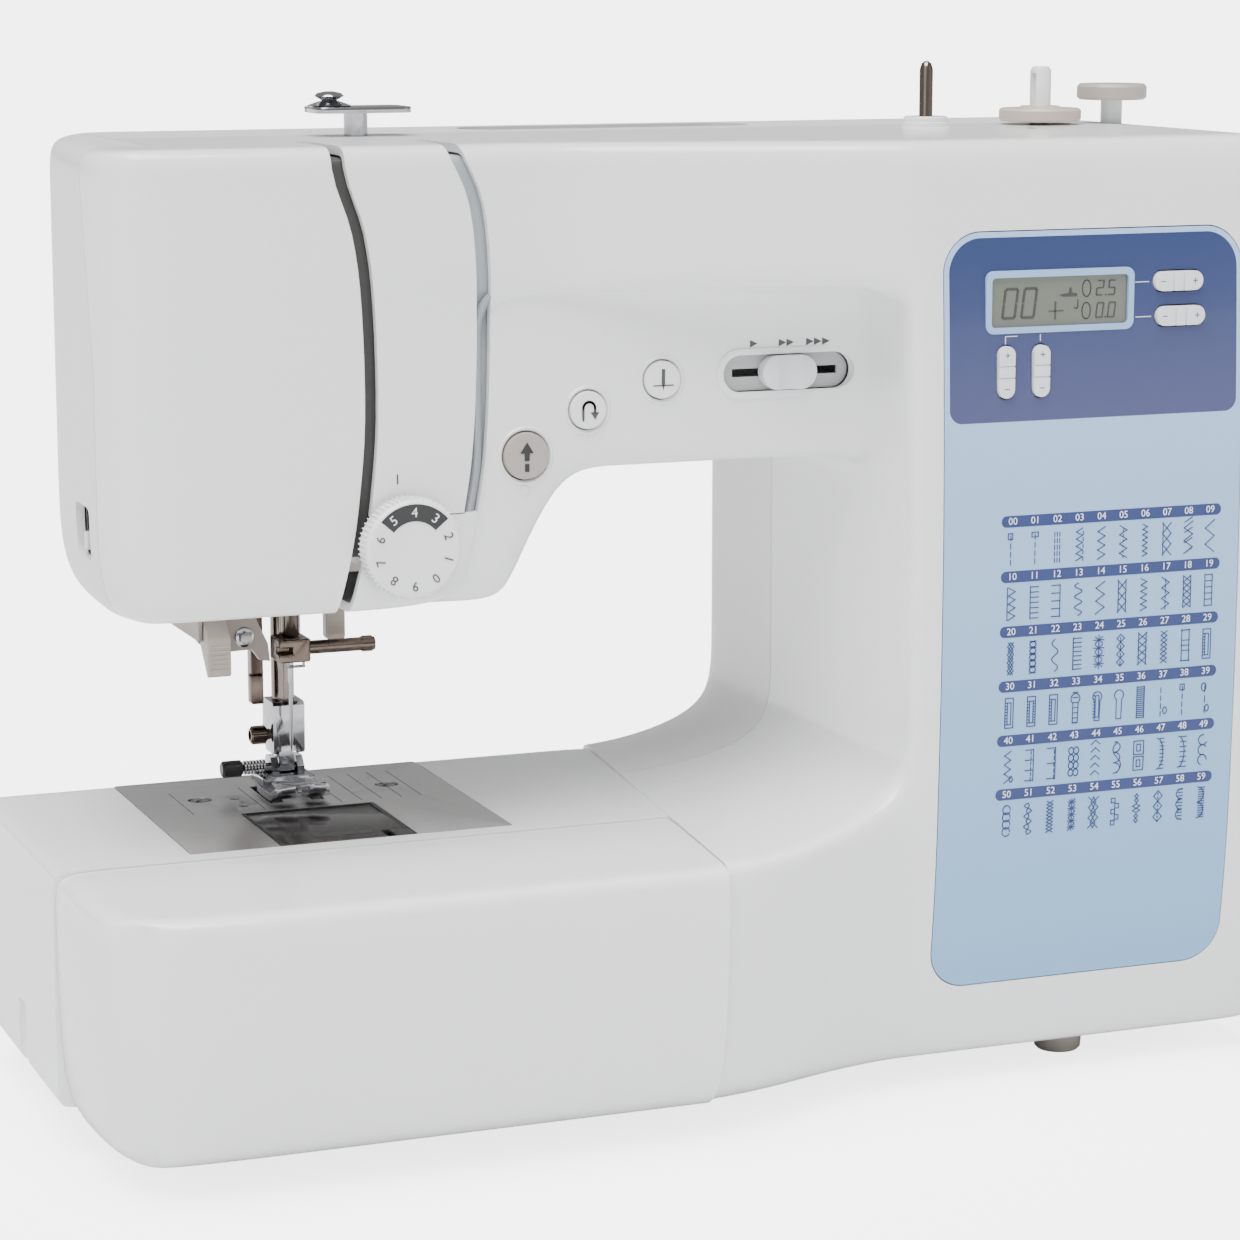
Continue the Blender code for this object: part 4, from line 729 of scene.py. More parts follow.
# %% Panel ink
FIELD = (grown(PANEL_X, -1.6), (ARM_TOP - 68.0, PANEL_Z[1] - 1.6), 10.4)
FIELD_LOW = (FIELD[0], (ARM_TOP - 81.5, PANEL_Z[1] - 14.0), 4.0)


def maths(tree, operation, first, second=None):
    node = tree.nodes.new("ShaderNodeMath")
    node.operation = operation
    for socket, value in zip(node.inputs, (first, second)):
        if value is None:
            continue
        if isinstance(value, (int, float)):
            socket.default_value = value
        else:
            tree.links.new(value, socket)
    return node.outputs[0]


def box_distance(tree, x, z, outline):
    """Distance in metres to a rounded rectangle in X and Z, negative inside."""
    (x0, x1), (z0, z1), radius = outline
    sides = []
    for value, a, b in ((x, x0, x1), (z, z0, z1)):
        offset = maths(tree, "SUBTRACT", value, (a + b) / 2 * MM)
        beyond = maths(tree, "SUBTRACT", maths(tree, "ABSOLUTE", offset),
                       ((b - a) / 2 - radius) * MM)
        sides.append(maths(tree, "MAXIMUM", beyond, 0.0))
    squares = [maths(tree, "MULTIPLY", side, side) for side in sides]
    length = maths(tree, "SQRT", maths(tree, "ADD", *squares))
    return maths(tree, "SUBTRACT", length, radius * MM)


def panel_ink():
    material, tree, shader, coords = new_material("panel_print")
    parts = tree.nodes.new("ShaderNodeSeparateXYZ")
    tree.links.new(coords.outputs["Object"], parts.inputs[0])
    x, z = parts.outputs["X"], parts.outputs["Z"]
    height = tree.nodes.new("ShaderNodeMapRange")
    height.inputs["From Min"].default_value = PANEL_Z[0] * MM
    height.inputs["From Max"].default_value = PANEL_Z[1] * MM
    tree.links.new(z, height.inputs["Value"])
    light = blend_colours(tree, height.outputs["Result"], (0.195, 0.40, 0.64), (0.385, 0.555, 0.82))
    field_height = tree.nodes.new("ShaderNodeMapRange")
    field_height.inputs["From Min"].default_value = FIELD_LOW[1][0] * MM
    field_height.inputs["From Max"].default_value = FIELD[1][1] * MM
    tree.links.new(z, field_height.inputs["Value"])
    dark = blend_colours(tree, field_height.outputs["Result"], (0.046, 0.054, 0.160),
                         (0.020, 0.040, 0.135))
    reach = maths(tree, "MINIMUM", box_distance(tree, x, z, FIELD),
                  box_distance(tree, x, z, FIELD_LOW))
    inside = maths(tree, "LESS_THAN", reach, 0.0)
    tree.links.new(blend_colours(tree, inside, light, dark), shader.inputs["Base Color"])
    tree.links.new(spread(tree, noise(tree, coords, 20.0), 0.2, 0.3), shader.inputs["Roughness"])
    shader.inputs["Coat Weight"].default_value = 0.2
    bump(tree, shader, noise(tree, coords, 1200.0, 2.0), 0.25, 0.00002)
    return material


PANEL = panel_ink()
panel = raw_object("panel_film", copy_of(housing))
combine(panel, regifront_skin(0.0), "INTERSECT")
LCD_X, LCD_Z = (PILLAR_X + 24.3, PILLAR_X + 69.8), (ARM_TOP - 54.4, ARM_TOP - 39.4)
carve(panel, prism(rounded(LCD_X, LCD_Z, 1.5), "y", -FAR, 0.0))
KEY_HALF = {"stitch_tens_key": (2.6, 7.6), "stitch_units_key": (2.6, 7.6),
            "stitch_length_key": (8.1, 2.9), "stitch_width_key": (8.1, 2.9)}
for name in KEYS:
    half, tall = KEY_HALF[name]
    carve(panel, prism(stadium(*node_centre(name), half + 0.4, tall + 0.4), "y", -FAR, 0.0))
finish_piece(panel, "panel_film", "root", PANEL, ["control_panel"], 32.0)
print("panel", len(panel.data.polygons), "faces")

# %% [markdown]
# ## Free arm and flat bed
# The flat bed attachment is an accessory box that wraps the front of the narrow free arm. Both use
# the same cage lines as the bed they meet, so their tops and fronts run on without a step.

# %% Flat bed attachment
BED_COLUMNS = [X_END, X_END + 15, X_END + 60, NEEDLE_X + 30, -45.0, -24.0, 12.0]


def attachment_point(i, k, j):
    x, z = BED_COLUMNS[i], BED_ROWS[j]
    y = (bed_lines(min(x, -24.0), j)[:3] + [-5.0])[k]
    if i == 0:
        x += (9.0, 2.0, 0.0, 0.0, 0.0)[j]
    if i == 0 and k < 2:
        x, y = x + (13.0, 3.0)[k], y + (8.0, 2.0)[k]
    return (x, y, z)


attachment = cage("flat_bed_box", (6, 3, 4), lambda i, k, j: True, attachment_point)
combine(attachment, block((-FAR, FAR), (-FAR, Y_FREE - SEAM / 2), (-FAR, FAR)), "INTERSECT")
carve(attachment, seam_cut(1, -FAR, FAR, -0.35))
cave = block((X_END + 17.0, -32.0), (Y_BED + 30.0, 20.0), (FLOOR_Z + 3.0, BED_TOP - 3.0))
carve(attachment, cave)
finish_piece(attachment, "flat_bed_box", "flat_bed_attachment", WHITE, ["flat_bed_attachment"],
             32.0)

# %% Free arm cover
def free_arm_point(i, k, j):
    x = [X_END, X_END + 7, X_END + 60, NEEDLE_X + 30, -45.0, -24.0, 12.0][i]
    y = [-45.0, -16.0, 20.0, 71.0, 80.0][k]
    z = [15.0, 22.0, 46.0, BED_TOP - 8, BED_TOP][j]
    return (x, y, z)


free_arm = cage("free_arm_shell", (6, 4, 4), lambda i, k, j: True, free_arm_point)
combine(free_arm, block((-FAR, FAR), (Y_FREE + SEAM / 2, FAR), (-FAR, FAR)), "INTERSECT")
carve(free_arm, seam_cut(1, -FAR, FAR, SEAM / 2 - 0.02))
plate_x, plate_y = bed[:2]
inner = block((X_END + WALL, seam_x(30.0) - 3.0), (Y_FREE + 2.9, 77.5), (17.5, BED_TOP - WALL))
carve(free_arm, inner)
window = prism(rounded(grown(plate_x, 0.35), grown(plate_y, 0.35), 1.2),
               "z", BED_TOP - 10, BED_TOP + 10)
carve(free_arm, window)
carve(free_arm, block((-45.0, 20.0), *FREE_OPENING))
carve(free_arm, rod("z", (X_END - 1.5, 21.0), 5.0, 15.0 - 5, 35.0, 24))
feet = [turned("z", spot, [(0, 0), (6.2, 0), (7.4, 3), (7.8, 16), (0, 16)], 32)
        for spot in ((X_END + 32.0, 0.0), (X_END + 32.0, 60.0))]
for foot in feet:
    combine(free_arm, foot, "UNION")
finish_piece(free_arm, "free_arm_shell", "root", WHITE, ["free_arm_cover"], 32.0)
bpy.data.objects.remove(housing, do_unlink=True)
print("free arm and attachment done")

# %% [markdown]
# ## Repeating a shape with Geometry Nodes
# Ribs on a dial, teeth on a thumbscrew and louvres on a back are all one shape set out many times.
# Two small node trees do this: `row` sets copies along a straight step, and `ring` turns them round
# a centre. Their sizes are named inputs of the modifier. Instances are made real before the result
# becomes a plain mesh, so the piece can leave Blender as ordinary geometry.

# %% Tree inputs
def new_tree(name, inputs):
    tree = bpy.data.node_groups.new(name, "GeometryNodeTree")
    tree.is_modifier = True
    tree.interface.new_socket("Geometry", in_out="INPUT", socket_type="NodeSocketGeometry")
    for label, kind in inputs:
        tree.interface.new_socket(label, in_out="INPUT", socket_type="NodeSocket" + kind)
    tree.interface.new_socket("Geometry", in_out="OUTPUT", socket_type="NodeSocketGeometry")
    return tree, tree.nodes.new("NodeGroupInput"), tree.nodes.new("NodeGroupOutput")


def end_tree(tree, start, out, geometry):
    """Every tree ends in real geometry with its finish."""
    real = tree.nodes.new("GeometryNodeRealizeInstances")
    paint = tree.nodes.new("GeometryNodeSetMaterial")
    tree.links.new(geometry, real.inputs["Geometry"])
    tree.links.new(real.outputs["Geometry"], paint.inputs["Geometry"])
    tree.links.new(start.outputs["Finish"], paint.inputs["Material"])
    tree.links.new(paint.outputs["Geometry"], out.inputs["Geometry"])


# %% Row tree
def make_row_tree():
    tree, start, out = new_tree("row",
                                [("Count", "Int"), ("Step", "Vector"), ("Finish", "Material")])
    line = tree.nodes.new("GeometryNodeMeshLine")
    copies = tree.nodes.new("GeometryNodeInstanceOnPoints")
    tree.links.new(start.outputs["Count"], line.inputs["Count"])
    tree.links.new(start.outputs["Step"], line.inputs["Offset"])
    tree.links.new(line.outputs["Mesh"], copies.inputs["Points"])
    tree.links.new(start.outputs["Geometry"], copies.inputs["Instance"])
    end_tree(tree, start, out, copies.outputs["Instances"])
    return tree


# %% Ring tree
def make_ring_tree():
    tree, start, out = new_tree("ring", [("Count", "Int"), ("Centre", "Vector"), ("Axis", "Vector"),
                                         ("Step Angle", "Float"), ("Finish", "Material")])
    back = tree.nodes.new("ShaderNodeVectorMath")
    back.operation = "SCALE"
    back.inputs["Scale"].default_value = -1.0
    move = tree.nodes.new("GeometryNodeTransform")
    line = tree.nodes.new("GeometryNodeMeshLine")
    line.inputs["Offset"].default_value = (0.0, 0.0, 0.0)
    index = tree.nodes.new("GeometryNodeInputIndex")
    angle = tree.nodes.new("ShaderNodeMath")
    angle.operation = "MULTIPLY"
    turn = tree.nodes.new("ShaderNodeVectorMath")
    turn.operation = "SCALE"
    copies = tree.nodes.new("GeometryNodeInstanceOnPoints")
    for a, b in ((start.outputs["Centre"], back.inputs[0]),
                 (back.outputs["Vector"], move.inputs["Translation"]),
                 (start.outputs["Geometry"], move.inputs["Geometry"]),
                 (start.outputs["Count"], line.inputs["Count"]),
                 (start.outputs["Centre"], line.inputs["Start Location"]),
                 (index.outputs["Index"], angle.inputs[0]),
                 (start.outputs["Step Angle"], angle.inputs[1]),
                 (start.outputs["Axis"], turn.inputs[0]),
                 (angle.outputs[0], turn.inputs["Scale"]),
                 (line.outputs["Mesh"], copies.inputs["Points"]),
                 (move.outputs["Geometry"], copies.inputs["Instance"]),
                 (turn.outputs["Vector"], copies.inputs["Rotation"])):
        tree.links.new(a, b)
    end_tree(tree, start, out, copies.outputs["Instances"])
    return tree


ROW, RING = make_row_tree(), make_ring_tree()


# %% Using a tree
def repeat(obj, tree, **values):
    """Sets a tree's inputs by identifier and turns the result into a plain mesh."""
    modifier = obj.modifiers.new(tree.name, "NODES")
    modifier.node_group = tree
    for item in tree.interface.items_tree:
        if item.in_out == "INPUT" and item.name in values:
            modifier[item.identifier] = values[item.name]
    settle(obj)


def row_piece(name, body, material, shape, count, step, edge=0.0, nodes=()):
    obj = raw_object(name, shape)
    if edge:
        soften(obj, edge, 2)
    repeat(obj, ROW, Count=count, Step=step, Finish=material)
    return finish_piece(obj, name, body, material, nodes)


def ring_piece(name, body, material, shape, count, centre, axis, sweep=math.tau, edge=0.0):
    obj = raw_object(name, shape)
    if edge:
        soften(obj, edge, 2)
    repeat(obj, RING, Count=count, Centre=centre, Axis=axis, Finish=material,
           **{"Step Angle": sweep / count})
    return finish_piece(obj, name, body, material)


print("trees:", ROW.name, "and", RING.name)

# %% [markdown]
# ## Print and marks
# Printed marks are very thin raised shapes that lie on the moulded skin. A stroke is a thin strip
# between two places, a plate is a filled outline, and numbers come from text objects turned into
# meshes. Each point asks the skin how far forward it is, so the print follows the curve.

# %% Strokes and plates on the skin
PRINT = 0.12


def flat(y):
    """A skin at one depth, for marks on a flat face."""
    return lambda x, z: y


def slab(bm, outline, skin, lift=PRINT):
    """Thin closed plate over an outline of (x, z) places."""
    near = [bm.verts.new((x, skin(x, z) - lift, z)) for x, z in outline]
    far = [bm.verts.new((x, skin(x, z) + 0.1, z)) for x, z in outline]
    bm.faces.new(near)
    bm.faces.new(far[::-1])
    count = len(outline)
    for k in range(count):
        n = (k + 1) % count
        bm.faces.new((near[n], near[k], far[k], far[n]))


def stroke(bm, a, b, width, skin, lift=PRINT):
    along = Vector((b[0] - a[0], b[1] - a[1]))
    if along.length < 1e-6:
        return
    along.normalize()
    side = Vector((-along.y, along.x)) * width / 2
    tip = along * width / 2
    start, end = Vector(a) - tip, Vector(b) + tip
    slab(bm, [tuple(p) for p in (start + side, start - side, end - side, end + side)], skin, lift)


def lines(bm, points, width, skin, lift=PRINT):
    for a, b in zip(points, points[1:]):
        stroke(bm, a, b, width, skin, lift)


def print_piece(name, body, material, bm, nodes=()):
    closed(bm)
    return finish_piece(raw_object(name, bm), name, body, material, nodes)


# %% Numbers on the skin
def add_text(bm, words, x, z, size, skin, turn=0.0, lift=PRINT):
    """Adds a word to a bmesh, centred at a place and turned in the plane of the skin."""
    curve = bpy.data.curves.new("words", "FONT")
    curve.body = words
    curve.size = size
    curve.align_x = "CENTER"
    curve.align_y = "CENTER"
    curve.extrude = 0.1
    curve.resolution_u = 3
    obj = bpy.data.objects.new("words", curve)
    bpy.context.scene.collection.objects.link(obj)
    mesh = bpy.data.meshes.new_from_object(obj.evaluated_get(bpy.context.evaluated_depsgraph_get()))
    mesh.transform(Matrix.Rotation(turn, 4, "Z"))
    for vertex in mesh.vertices:
        u, v, w = vertex.co
        vertex.co = (x + u, skin(x + u, z + v) + 0.1 - lift - w, z + v)
    bm.from_mesh(mesh)
    bpy.data.objects.remove(obj, do_unlink=True)
    bpy.data.curves.remove(curve)
    bpy.data.meshes.remove(mesh)


print("print tools ready")

# %% [markdown]
# ## The stitch chart
# Six blue bars carry the stitch numbers, and under each number stands a small drawing of its
# stitch. A loop lays the bars on the skin, which is not flat. The drawings are short lists of
# points in a cell one unit wide and three tall, made by little functions: a zigzag, a ladder, a
# wave, and so on.

# %% Bars and numbers
CHART_X, CHART_TOP, CHART_PITCH = (PANEL_X[0] + 18.6, PANEL_X[1] - 6.2), ARM_TOP - 110.8, 16.4
CELL = (CHART_X[1] - CHART_X[0]) / 10
bars = bmesh.new()
for r in range(6):
    z = CHART_TOP - r * CHART_PITCH
    slab(bars, rounded(CHART_X, about(z, 1.7), 1.6, 6), front_skin, 0.08)
print_piece("chart_bars", "root", MARK_BLUE, bars)

numbers = bmesh.new()
for r in range(6):
    for c in range(10):
        add_text(numbers, f"{r}{c}", CHART_X[0] + CELL * (c + 0.5), CHART_TOP - r * CHART_PITCH,
                 3.0, front_skin, lift=0.14)
print_piece("chart_numbers", "root", MARK_WHITE, numbers)


# %% Stitch shapes, in a cell from -0.5 to 0.5 wide and 0 to 3 high
def zigzag(steps, width, start=-1, low=0.1, high=2.9):
    side = [start * width / 2 * (-1) ** k for k in range(steps + 1)]
    return [[(side[k], low + (high - low) * k / steps) for k in range(steps + 1)]]


def dashes(count, x, share=0.6, low=0.1, high=2.9):
    pitch = (high - low) / count
    return [[(x, low + pitch * k), (x, low + pitch * (k + share))] for k in range(count)]


def rungs(count, left, right, slope=0.0, low=0.15, high=2.85):
    heights = [low + (high - low) * k / (count - 1) for k in range(count)]
    return [[(left, h), (right, h + slope)] for h in heights]


def wave(turns, width, low=0.1, high=2.9):
    steps = turns * 8
    return [[(width / 2 * math.sin(math.tau * turns * k / steps), low + (high - low) * k / steps)
             for k in range(steps + 1)]]


def diamonds(count, width, low=0.1, high=2.9):
    pitch = (high - low) / count
    return [[(0, low + pitch * k), (width / 2, low + pitch * (k + 0.5)), (0, low + pitch * (k + 1)),
             (-width / 2, low + pitch * (k + 0.5)), (0, low + pitch * k)] for k in range(count)]


def crosses(count, width):
    pitch = 2.8 / count
    out = []
    for k in range(count):
        low, high = 0.1 + pitch * k, 0.1 + pitch * (k + 1)
        out += [[(-width / 2, low), (width / 2, high)], [(width / 2, low), (-width / 2, high)]]
    return out


def stars(count, width):
    out = []
    for k in range(count):
        middle_z = 0.1 + 2.8 * (k + 0.5) / count
        for a in (0, 45, 90, 135):
            dx, dz = math.cos(math.radians(a)) * width / 2, math.sin(math.radians(a)) * width / 2
            out.append([(-dx, middle_z - dz), (dx, middle_z + dz)])
    return out


def ring_line(x, z, rx, rz, start=0, sweep=360, steps=12):
    return [(x + rx * math.cos(math.radians(start + sweep * k / steps)),
             z + rz * math.sin(math.radians(start + sweep * k / steps))) for k in range(steps + 1)]


def frame_line(left, right, low, high):
    return [(left, low), (right, low), (right, high), (left, high), (left, low)]


def hole(round_end, inner):
    """Buttonhole: two hatched legs with a square or a round end."""
    out = [frame_line(-0.32, 0.32, 0.2, 2.8)] if not round_end else [[(-0.2, 0.2),
        (-0.2, 1.9)] + ring_line(0, 2.3, 0.36, 0.45, 230, -280)[1:] + [(0.2, 0.2), (-0.2, 0.2)]]
    if inner:
        out.append(frame_line(-0.14, 0.14, 0.5, 2.4))
        out += rungs(8, -0.32, -0.14, low=0.5, high=2.4)
    return out


def hooks(count, side):
    out = [[(-side * 0.3, 0.1), (-side * 0.3, 2.9)]]
    return out + rungs(count, -side * 0.3, side * 0.35)


def scallops(count, side):
    pitch = 2.8 / count
    return [ring_line(-side * 0.25, 0.1 + pitch * (k + 0.5), side * 0.5, pitch / 2, -90, 180, 8)
            for k in range(count)]


# %% The sixty drawings, row by row
bar_x = [[(x, 0.1), (x, 2.9)] for x in (-0.3, 0.3)]
DRAWINGS = [dashes(4, -0.15) + [frame_line(-0.35, 0.0, 2.3, 2.8)],
            dashes(4, 0.0) + [frame_line(-0.25, 0.25, 2.4, 2.8)],
            dashes(5, -0.2) + dashes(5, 0.0) + dashes(5, 0.2), zigzag(9, 0.5) + dashes(5, 0.3, 0.5),
            zigzag(7, 0.6), zigzag(7, 0.6, 1) + dashes(6, 0.0, 0.3), zigzag(12, 0.4),
            crosses(3, 0.7) + bar_x[:1], zigzag(5, 0.7) + rungs(4, -0.3, 0.3, 0.4),
            zigzag(4, 0.75, 1), zigzag(8, 0.55) + [[(-0.35, 0.1), (-0.35, 2.9)]], hooks(7, 1),
            hooks(5, -1) + dashes(6, 0.3), wave(3, 0.6), zigzag(5, 0.7, -1),
            crosses(3, 0.7) + bar_x, zigzag(10, 0.5), zigzag(6, 0.6) + dashes(6, 0.0),
            crosses(5, 0.6) + bar_x, rungs(6, -0.3, 0.3) + bar_x,
            diamonds(4, 0.5) + crosses(4, 0.4), scallops(5, 1) + scallops(5, -1), wave(2, 0.5),
            hooks(8, 1) + bar_x[:1], stars(4, 0.8), diamonds(4, 0.6) + dashes(4, 0.0),
            crosses(4, 0.7) + bar_x, crosses(7, 0.5), hooks(4, 1) + hooks(3, -1), hole(False, True),
            hole(False, True), hole(False, True) + rungs(9, 0.14, 0.32, low=0.5, high=2.4),
            hole(False, True), hole(True, False) + rungs(7, -0.2, 0.2), hole(True, True),
            hole(True, False), rungs(16, -0.28, 0.28) + bar_x,
            dashes(4, -0.1) + [ring_line(0.25, 0.6, 0.15, 0.3)],
            dashes(4, -0.1) + [frame_line(-0.3, 0.05, 2.3, 2.8)],
            dashes(3, 0.0) + [ring_line(-0.1, 2.4, 0.2, 0.35), ring_line(0.2, 0.5, 0.15, 0.3)],
            zigzag(7, 0.5) + [ring_line(0.3, 0.4, 0.12, 0.25)], hooks(4, -1) + dashes(6, 0.1),
            hooks(3, -1) + dashes(5, 0.2),
            [ring_line(s * 0.2, 0.5 + 0.65 * k, 0.2, 0.3) for k in range(4) for s in (-1, 1)],
            rungs(5, -0.35, 0.0, 0.35) + rungs(5, 0.35, 0.0, 0.35), wave(1, 0.7) + scallops(3, 1),
            [frame_line(-0.4, 0.4, 0.2, 1.4), frame_line(-0.15, 0.15, 0.5, 1.1),
             frame_line(-0.4, 0.4, 1.6, 2.8), frame_line(-0.15, 0.15, 1.9, 2.5)],
            scallops(1, 1) + rungs(9, 0.0, 0.3), scallops(1, 1) + rungs(7, -0.1, 0.4),
            [ring_line(0, 0.6 + 0.9 * k, 0.35, 0.45, 40 * k, 250) for k in range(3)],
            [ring_line(0.05, 0.5 + 0.65 * k, 0.3, 0.4, 0, 330) for k in range(4)],
            wave(3, 0.6) + wave(3, -0.2), zigzag(9, 0.5) + zigzag(9, 0.5, 1),
            stars(5, 0.6) + zigzag(5, 0.5), crosses(3, 0.8) + diamonds(3, 0.4),
            [frame_line(-0.3, 0.0, 0.2 + k, 0.6 + k) for k in range(3)] + [frame_line(0, 0.3,
    0.7 + k, 1.1 + k) for k in range(2)],
            [p for k in range(3) for p in diamonds(2, 0.3 + 0.3 * (k == 1), 0.2 + 0.9 * k,
                                                   1.0 + 0.9 * k)],
            diamonds(3, 0.7) + dashes(8, 0.0, 0.4), scallops(3, -1) + rungs(10, -0.1, 0.25),
            rungs(14, -0.15, 0.3) + scallops(2, 1)]

drawings = bmesh.new()
for number, shape in enumerate(DRAWINGS):
    r, c = divmod(number, 10)
    x0 = CHART_X[0] + CELL * (c + 0.5)
    z0 = CHART_TOP - r * CHART_PITCH - 13.2
    for line in shape:
        lines(drawings, [(x0 + 4.2 * u, z0 + 3.45 * v) for u, v in line], 0.3, front_skin)
print_piece("chart_drawings", "root", MARK_BLUE, drawings)
print("chart:", len(DRAWINGS), "stitches")

# %% [markdown]
# ## Display
# The display sits in the panel behind a thin light frame. Its glass is a dull green grey, with
# dark segments that are raised by a hair. Big digits show the stitch number; two small lines give
# the width and the length.

# %% Display glass, frame and segments
FRAME_BLUE = plastic("frame_blue", (0.30, 0.47, 0.74), (0.27, 0.44, 0.70), (0.2, 0.3))
LCD = plastic("display_glass", (0.135, 0.145, 0.115), (0.115, 0.125, 0.10), (0.12, 0.2), coat=0.2)
SEGMENT = plastic("display_segment", (0.035, 0.04, 0.035), (0.05, 0.055, 0.05), (0.3, 0.4))
lcd_y = front_skin(middle(LCD_X), middle(LCD_Z))
outer = prism(rounded(grown(LCD_X, 1.5), (LCD_Z[0] - 1.5, LCD_Z[1] + 1.7), 2.6), "y",
              lcd_y - 0.7, lcd_y + 0.9)
piece("display_frame", "root", FRAME_BLUE, outer, edge=0.35, cut=[
    prism(rounded(grown(LCD_X, -0.3), grown(LCD_Z, -0.3), 1.2), "y", -FAR, 0)])
piece("display_glass", "root", LCD, block(grown(LCD_X, -0.35), (lcd_y + 0.35, lcd_y + 4.0),
                                          grown(LCD_Z, -0.35)), nodes=["lcd_module"])
SEGMENTS = {"0": "abcdef", "2": "abged", "5": "afgcd"}


def digit(bm, mark, x, z, wide, tall, width, skin):
    """Seven-segment digit, leaning a little."""
    lean = 0.12
    def at(u, v):
        return (x + u * wide + lean * v * tall, z + v * tall)
    runs = {"a": ((0, 2), (1, 2)), "b": ((1, 1), (1, 2)), "c": ((1, 0), (1, 1)),
            "d": ((0, 0), (1, 0)), "e": ((0, 0), (0, 1)), "f": ((0, 1), (0, 2)),
            "g": ((0, 1), (1, 1))}
    for segment in SEGMENTS[mark]:
        (u0, v0), (u1, v1) = runs[segment]
        shrink = 0.12
        a = (u0 + (u1 - u0) * shrink, v0 + (v1 - v0) * shrink)
        b = (u1 - (u1 - u0) * shrink, v1 - (v1 - v0) * shrink)
        stroke(bm, at(*a), at(*b), width, skin)


on_glass = flat(lcd_y + 0.35)
segments = bmesh.new()
for k in range(2):
    digit(segments, "0", LCD_X[0] + 4.2 + 6.2 * k, LCD_Z[0] + 2.9, 4.0, 4.2, 0.75, on_glass)
for z, marks in ((LCD_Z[0] + 8.7, "25"), (LCD_Z[0] + 2.2, "00")):
    for k, mark in enumerate(marks):
        digit(segments, mark, LCD_X[0] + 34.9 + 3.9 * k, z, 2.1, 2.1, 0.42, on_glass)
    slab(segments, circle((LCD_X[0] + 38.1, z), 0.3, 8), on_glass)
    lines(segments, ring_line(LCD_X[0] + 31.7, z + 2.1, 1.4, 2.4, 0, 360, 16), 0.28, on_glass)
needle_at = (LCD_X[0] + 21.5, LCD_Z[0] + 4.5)
lines(segments, [(needle_at[0], needle_at[1] - 2.2), (needle_at[0], needle_at[1] + 2.6)], 0.5,
      on_glass)
lines(segments, [(needle_at[0] - 2, needle_at[1]), (needle_at[0] + 2.6, needle_at[1])], 0.3,
      on_glass)
icon_x, icon_z = LCD_X[0] + 22.6, LCD_Z[0] + 8.6
slab(segments,
     shifted([(0, 0.6), (1.2, 0), (6.0, 0), (6.0, 0.9), (4.4, 1.0), (4.1, 2.6), (3.5, 2.6),
              (3.2, 1.0), (1.4, 0.8)], icon_x, icon_z), on_glass)
lines(segments, shifted([(28.9, 7.6), (28.9, 5.4), (28.4, 5.0), (27.7, 5.3)], LCD_X[0], LCD_Z[0]),
      0.3, on_glass)
print_piece("display_segments", "root", SEGMENT, segments)

# %% [markdown]
# ## Keys and their leader lines
# Each pill is one rocker with a plus and a minus end, moulded with a small bridge between them.

# %% Keys
KEY_RISE = 1.35
for name in KEYS:
    x, z = node_centre(name)
    half, tall = KEY_HALF[name]
    skin = front_skin(x, z)
    upright = tall > half
    grooves = []
    for s in (-1.7, 1.7):
        gx, gz = (x, z + s) if upright else (x + s, z)
        wide, high = (half + 1, 0.17) if upright else (0.17, tall + 1)
        grooves.append(block(about(gx, wide), (skin - 3, skin - 0.85), about(gz, high)))
    piece(name + "_cap", name, PALE,
          prism(stadium(x, z, half, tall), "y", skin - KEY_RISE, skin + 4.0), cut=grooves, edge=0.4,
          nodes=[name])
    signs = bmesh.new()
    for s in (-1, 1):
        sx, sz = (x, z + s * (tall - 2.7)) if upright else (x + s * (half - 2.7), z)
        face = flat(skin - KEY_RISE)
        stroke(signs, (sx - 0.7, sz), (sx + 0.7, sz), 0.25, face, 0.06)
        if s > 0:
            stroke(signs, (sx, sz - 0.7), (sx, sz + 0.7), 0.25, face, 0.06)
    print_piece(name + "_signs", name, MARK_GREY, signs)

leaders = bmesh.new()
tens, units, length, width = (node_centre(k) for k in KEYS)
lines(leaders, shifted([(0, 8.2), (0, 10.3), (3.8, 10.3)], tens[0], tens[1]), 0.22, front_skin)
lines(leaders, [(units[0], units[1] + 8.8), (units[0], units[1] + 10.5)], 0.22, front_skin)
for x, z in (length, width):
    lines(leaders, [(LCD_X[1] + 2.4, z), (x - 9.6, z)], 0.22, front_skin)
print_piece("leader_lines", "root", MARK_WHITE, leaders)
print("panel finished")

# %% [markdown]
# ## Buttons and speed slider
# The start and stop button is a warm grey disc with an arrow, the reverse and needle buttons are
# white. The speed control is a knob that runs along a slot with a bright rim.

# %% Buttons
def disc_profile(front_y, back_y, radius, edge=0.7, dish=0.25):
    return [(0, front_y + dish), (radius - 1.8, front_y + dish * 0.4), (radius - edge, front_y),
            (radius - edge * 0.3, front_y + edge * 0.25), (radius, front_y + edge),
            (radius, back_y), (0, back_y)]


for name, radius in BUTTON_R.items():
    spot = node_centre(name)
    material = TAUPE if name.startswith("start") else WHITE
    shape = turned("y", spot, disc_profile(Y_RECESS - 1.6, Y_RECESS + 3.6, radius), 72)
    piece(name + "_cap", name, material, shape, nodes=[name])
    rim = turned("y", spot,
                 shifted([(0.55, 0.2), (0.7, -0.45), (1.15, -0.6), (1.6, -0.3), (1.9, 0.3)], radius,
                         Y_RECESS), 72)
    piece(name + "_rim", "root", WHITE, rim)


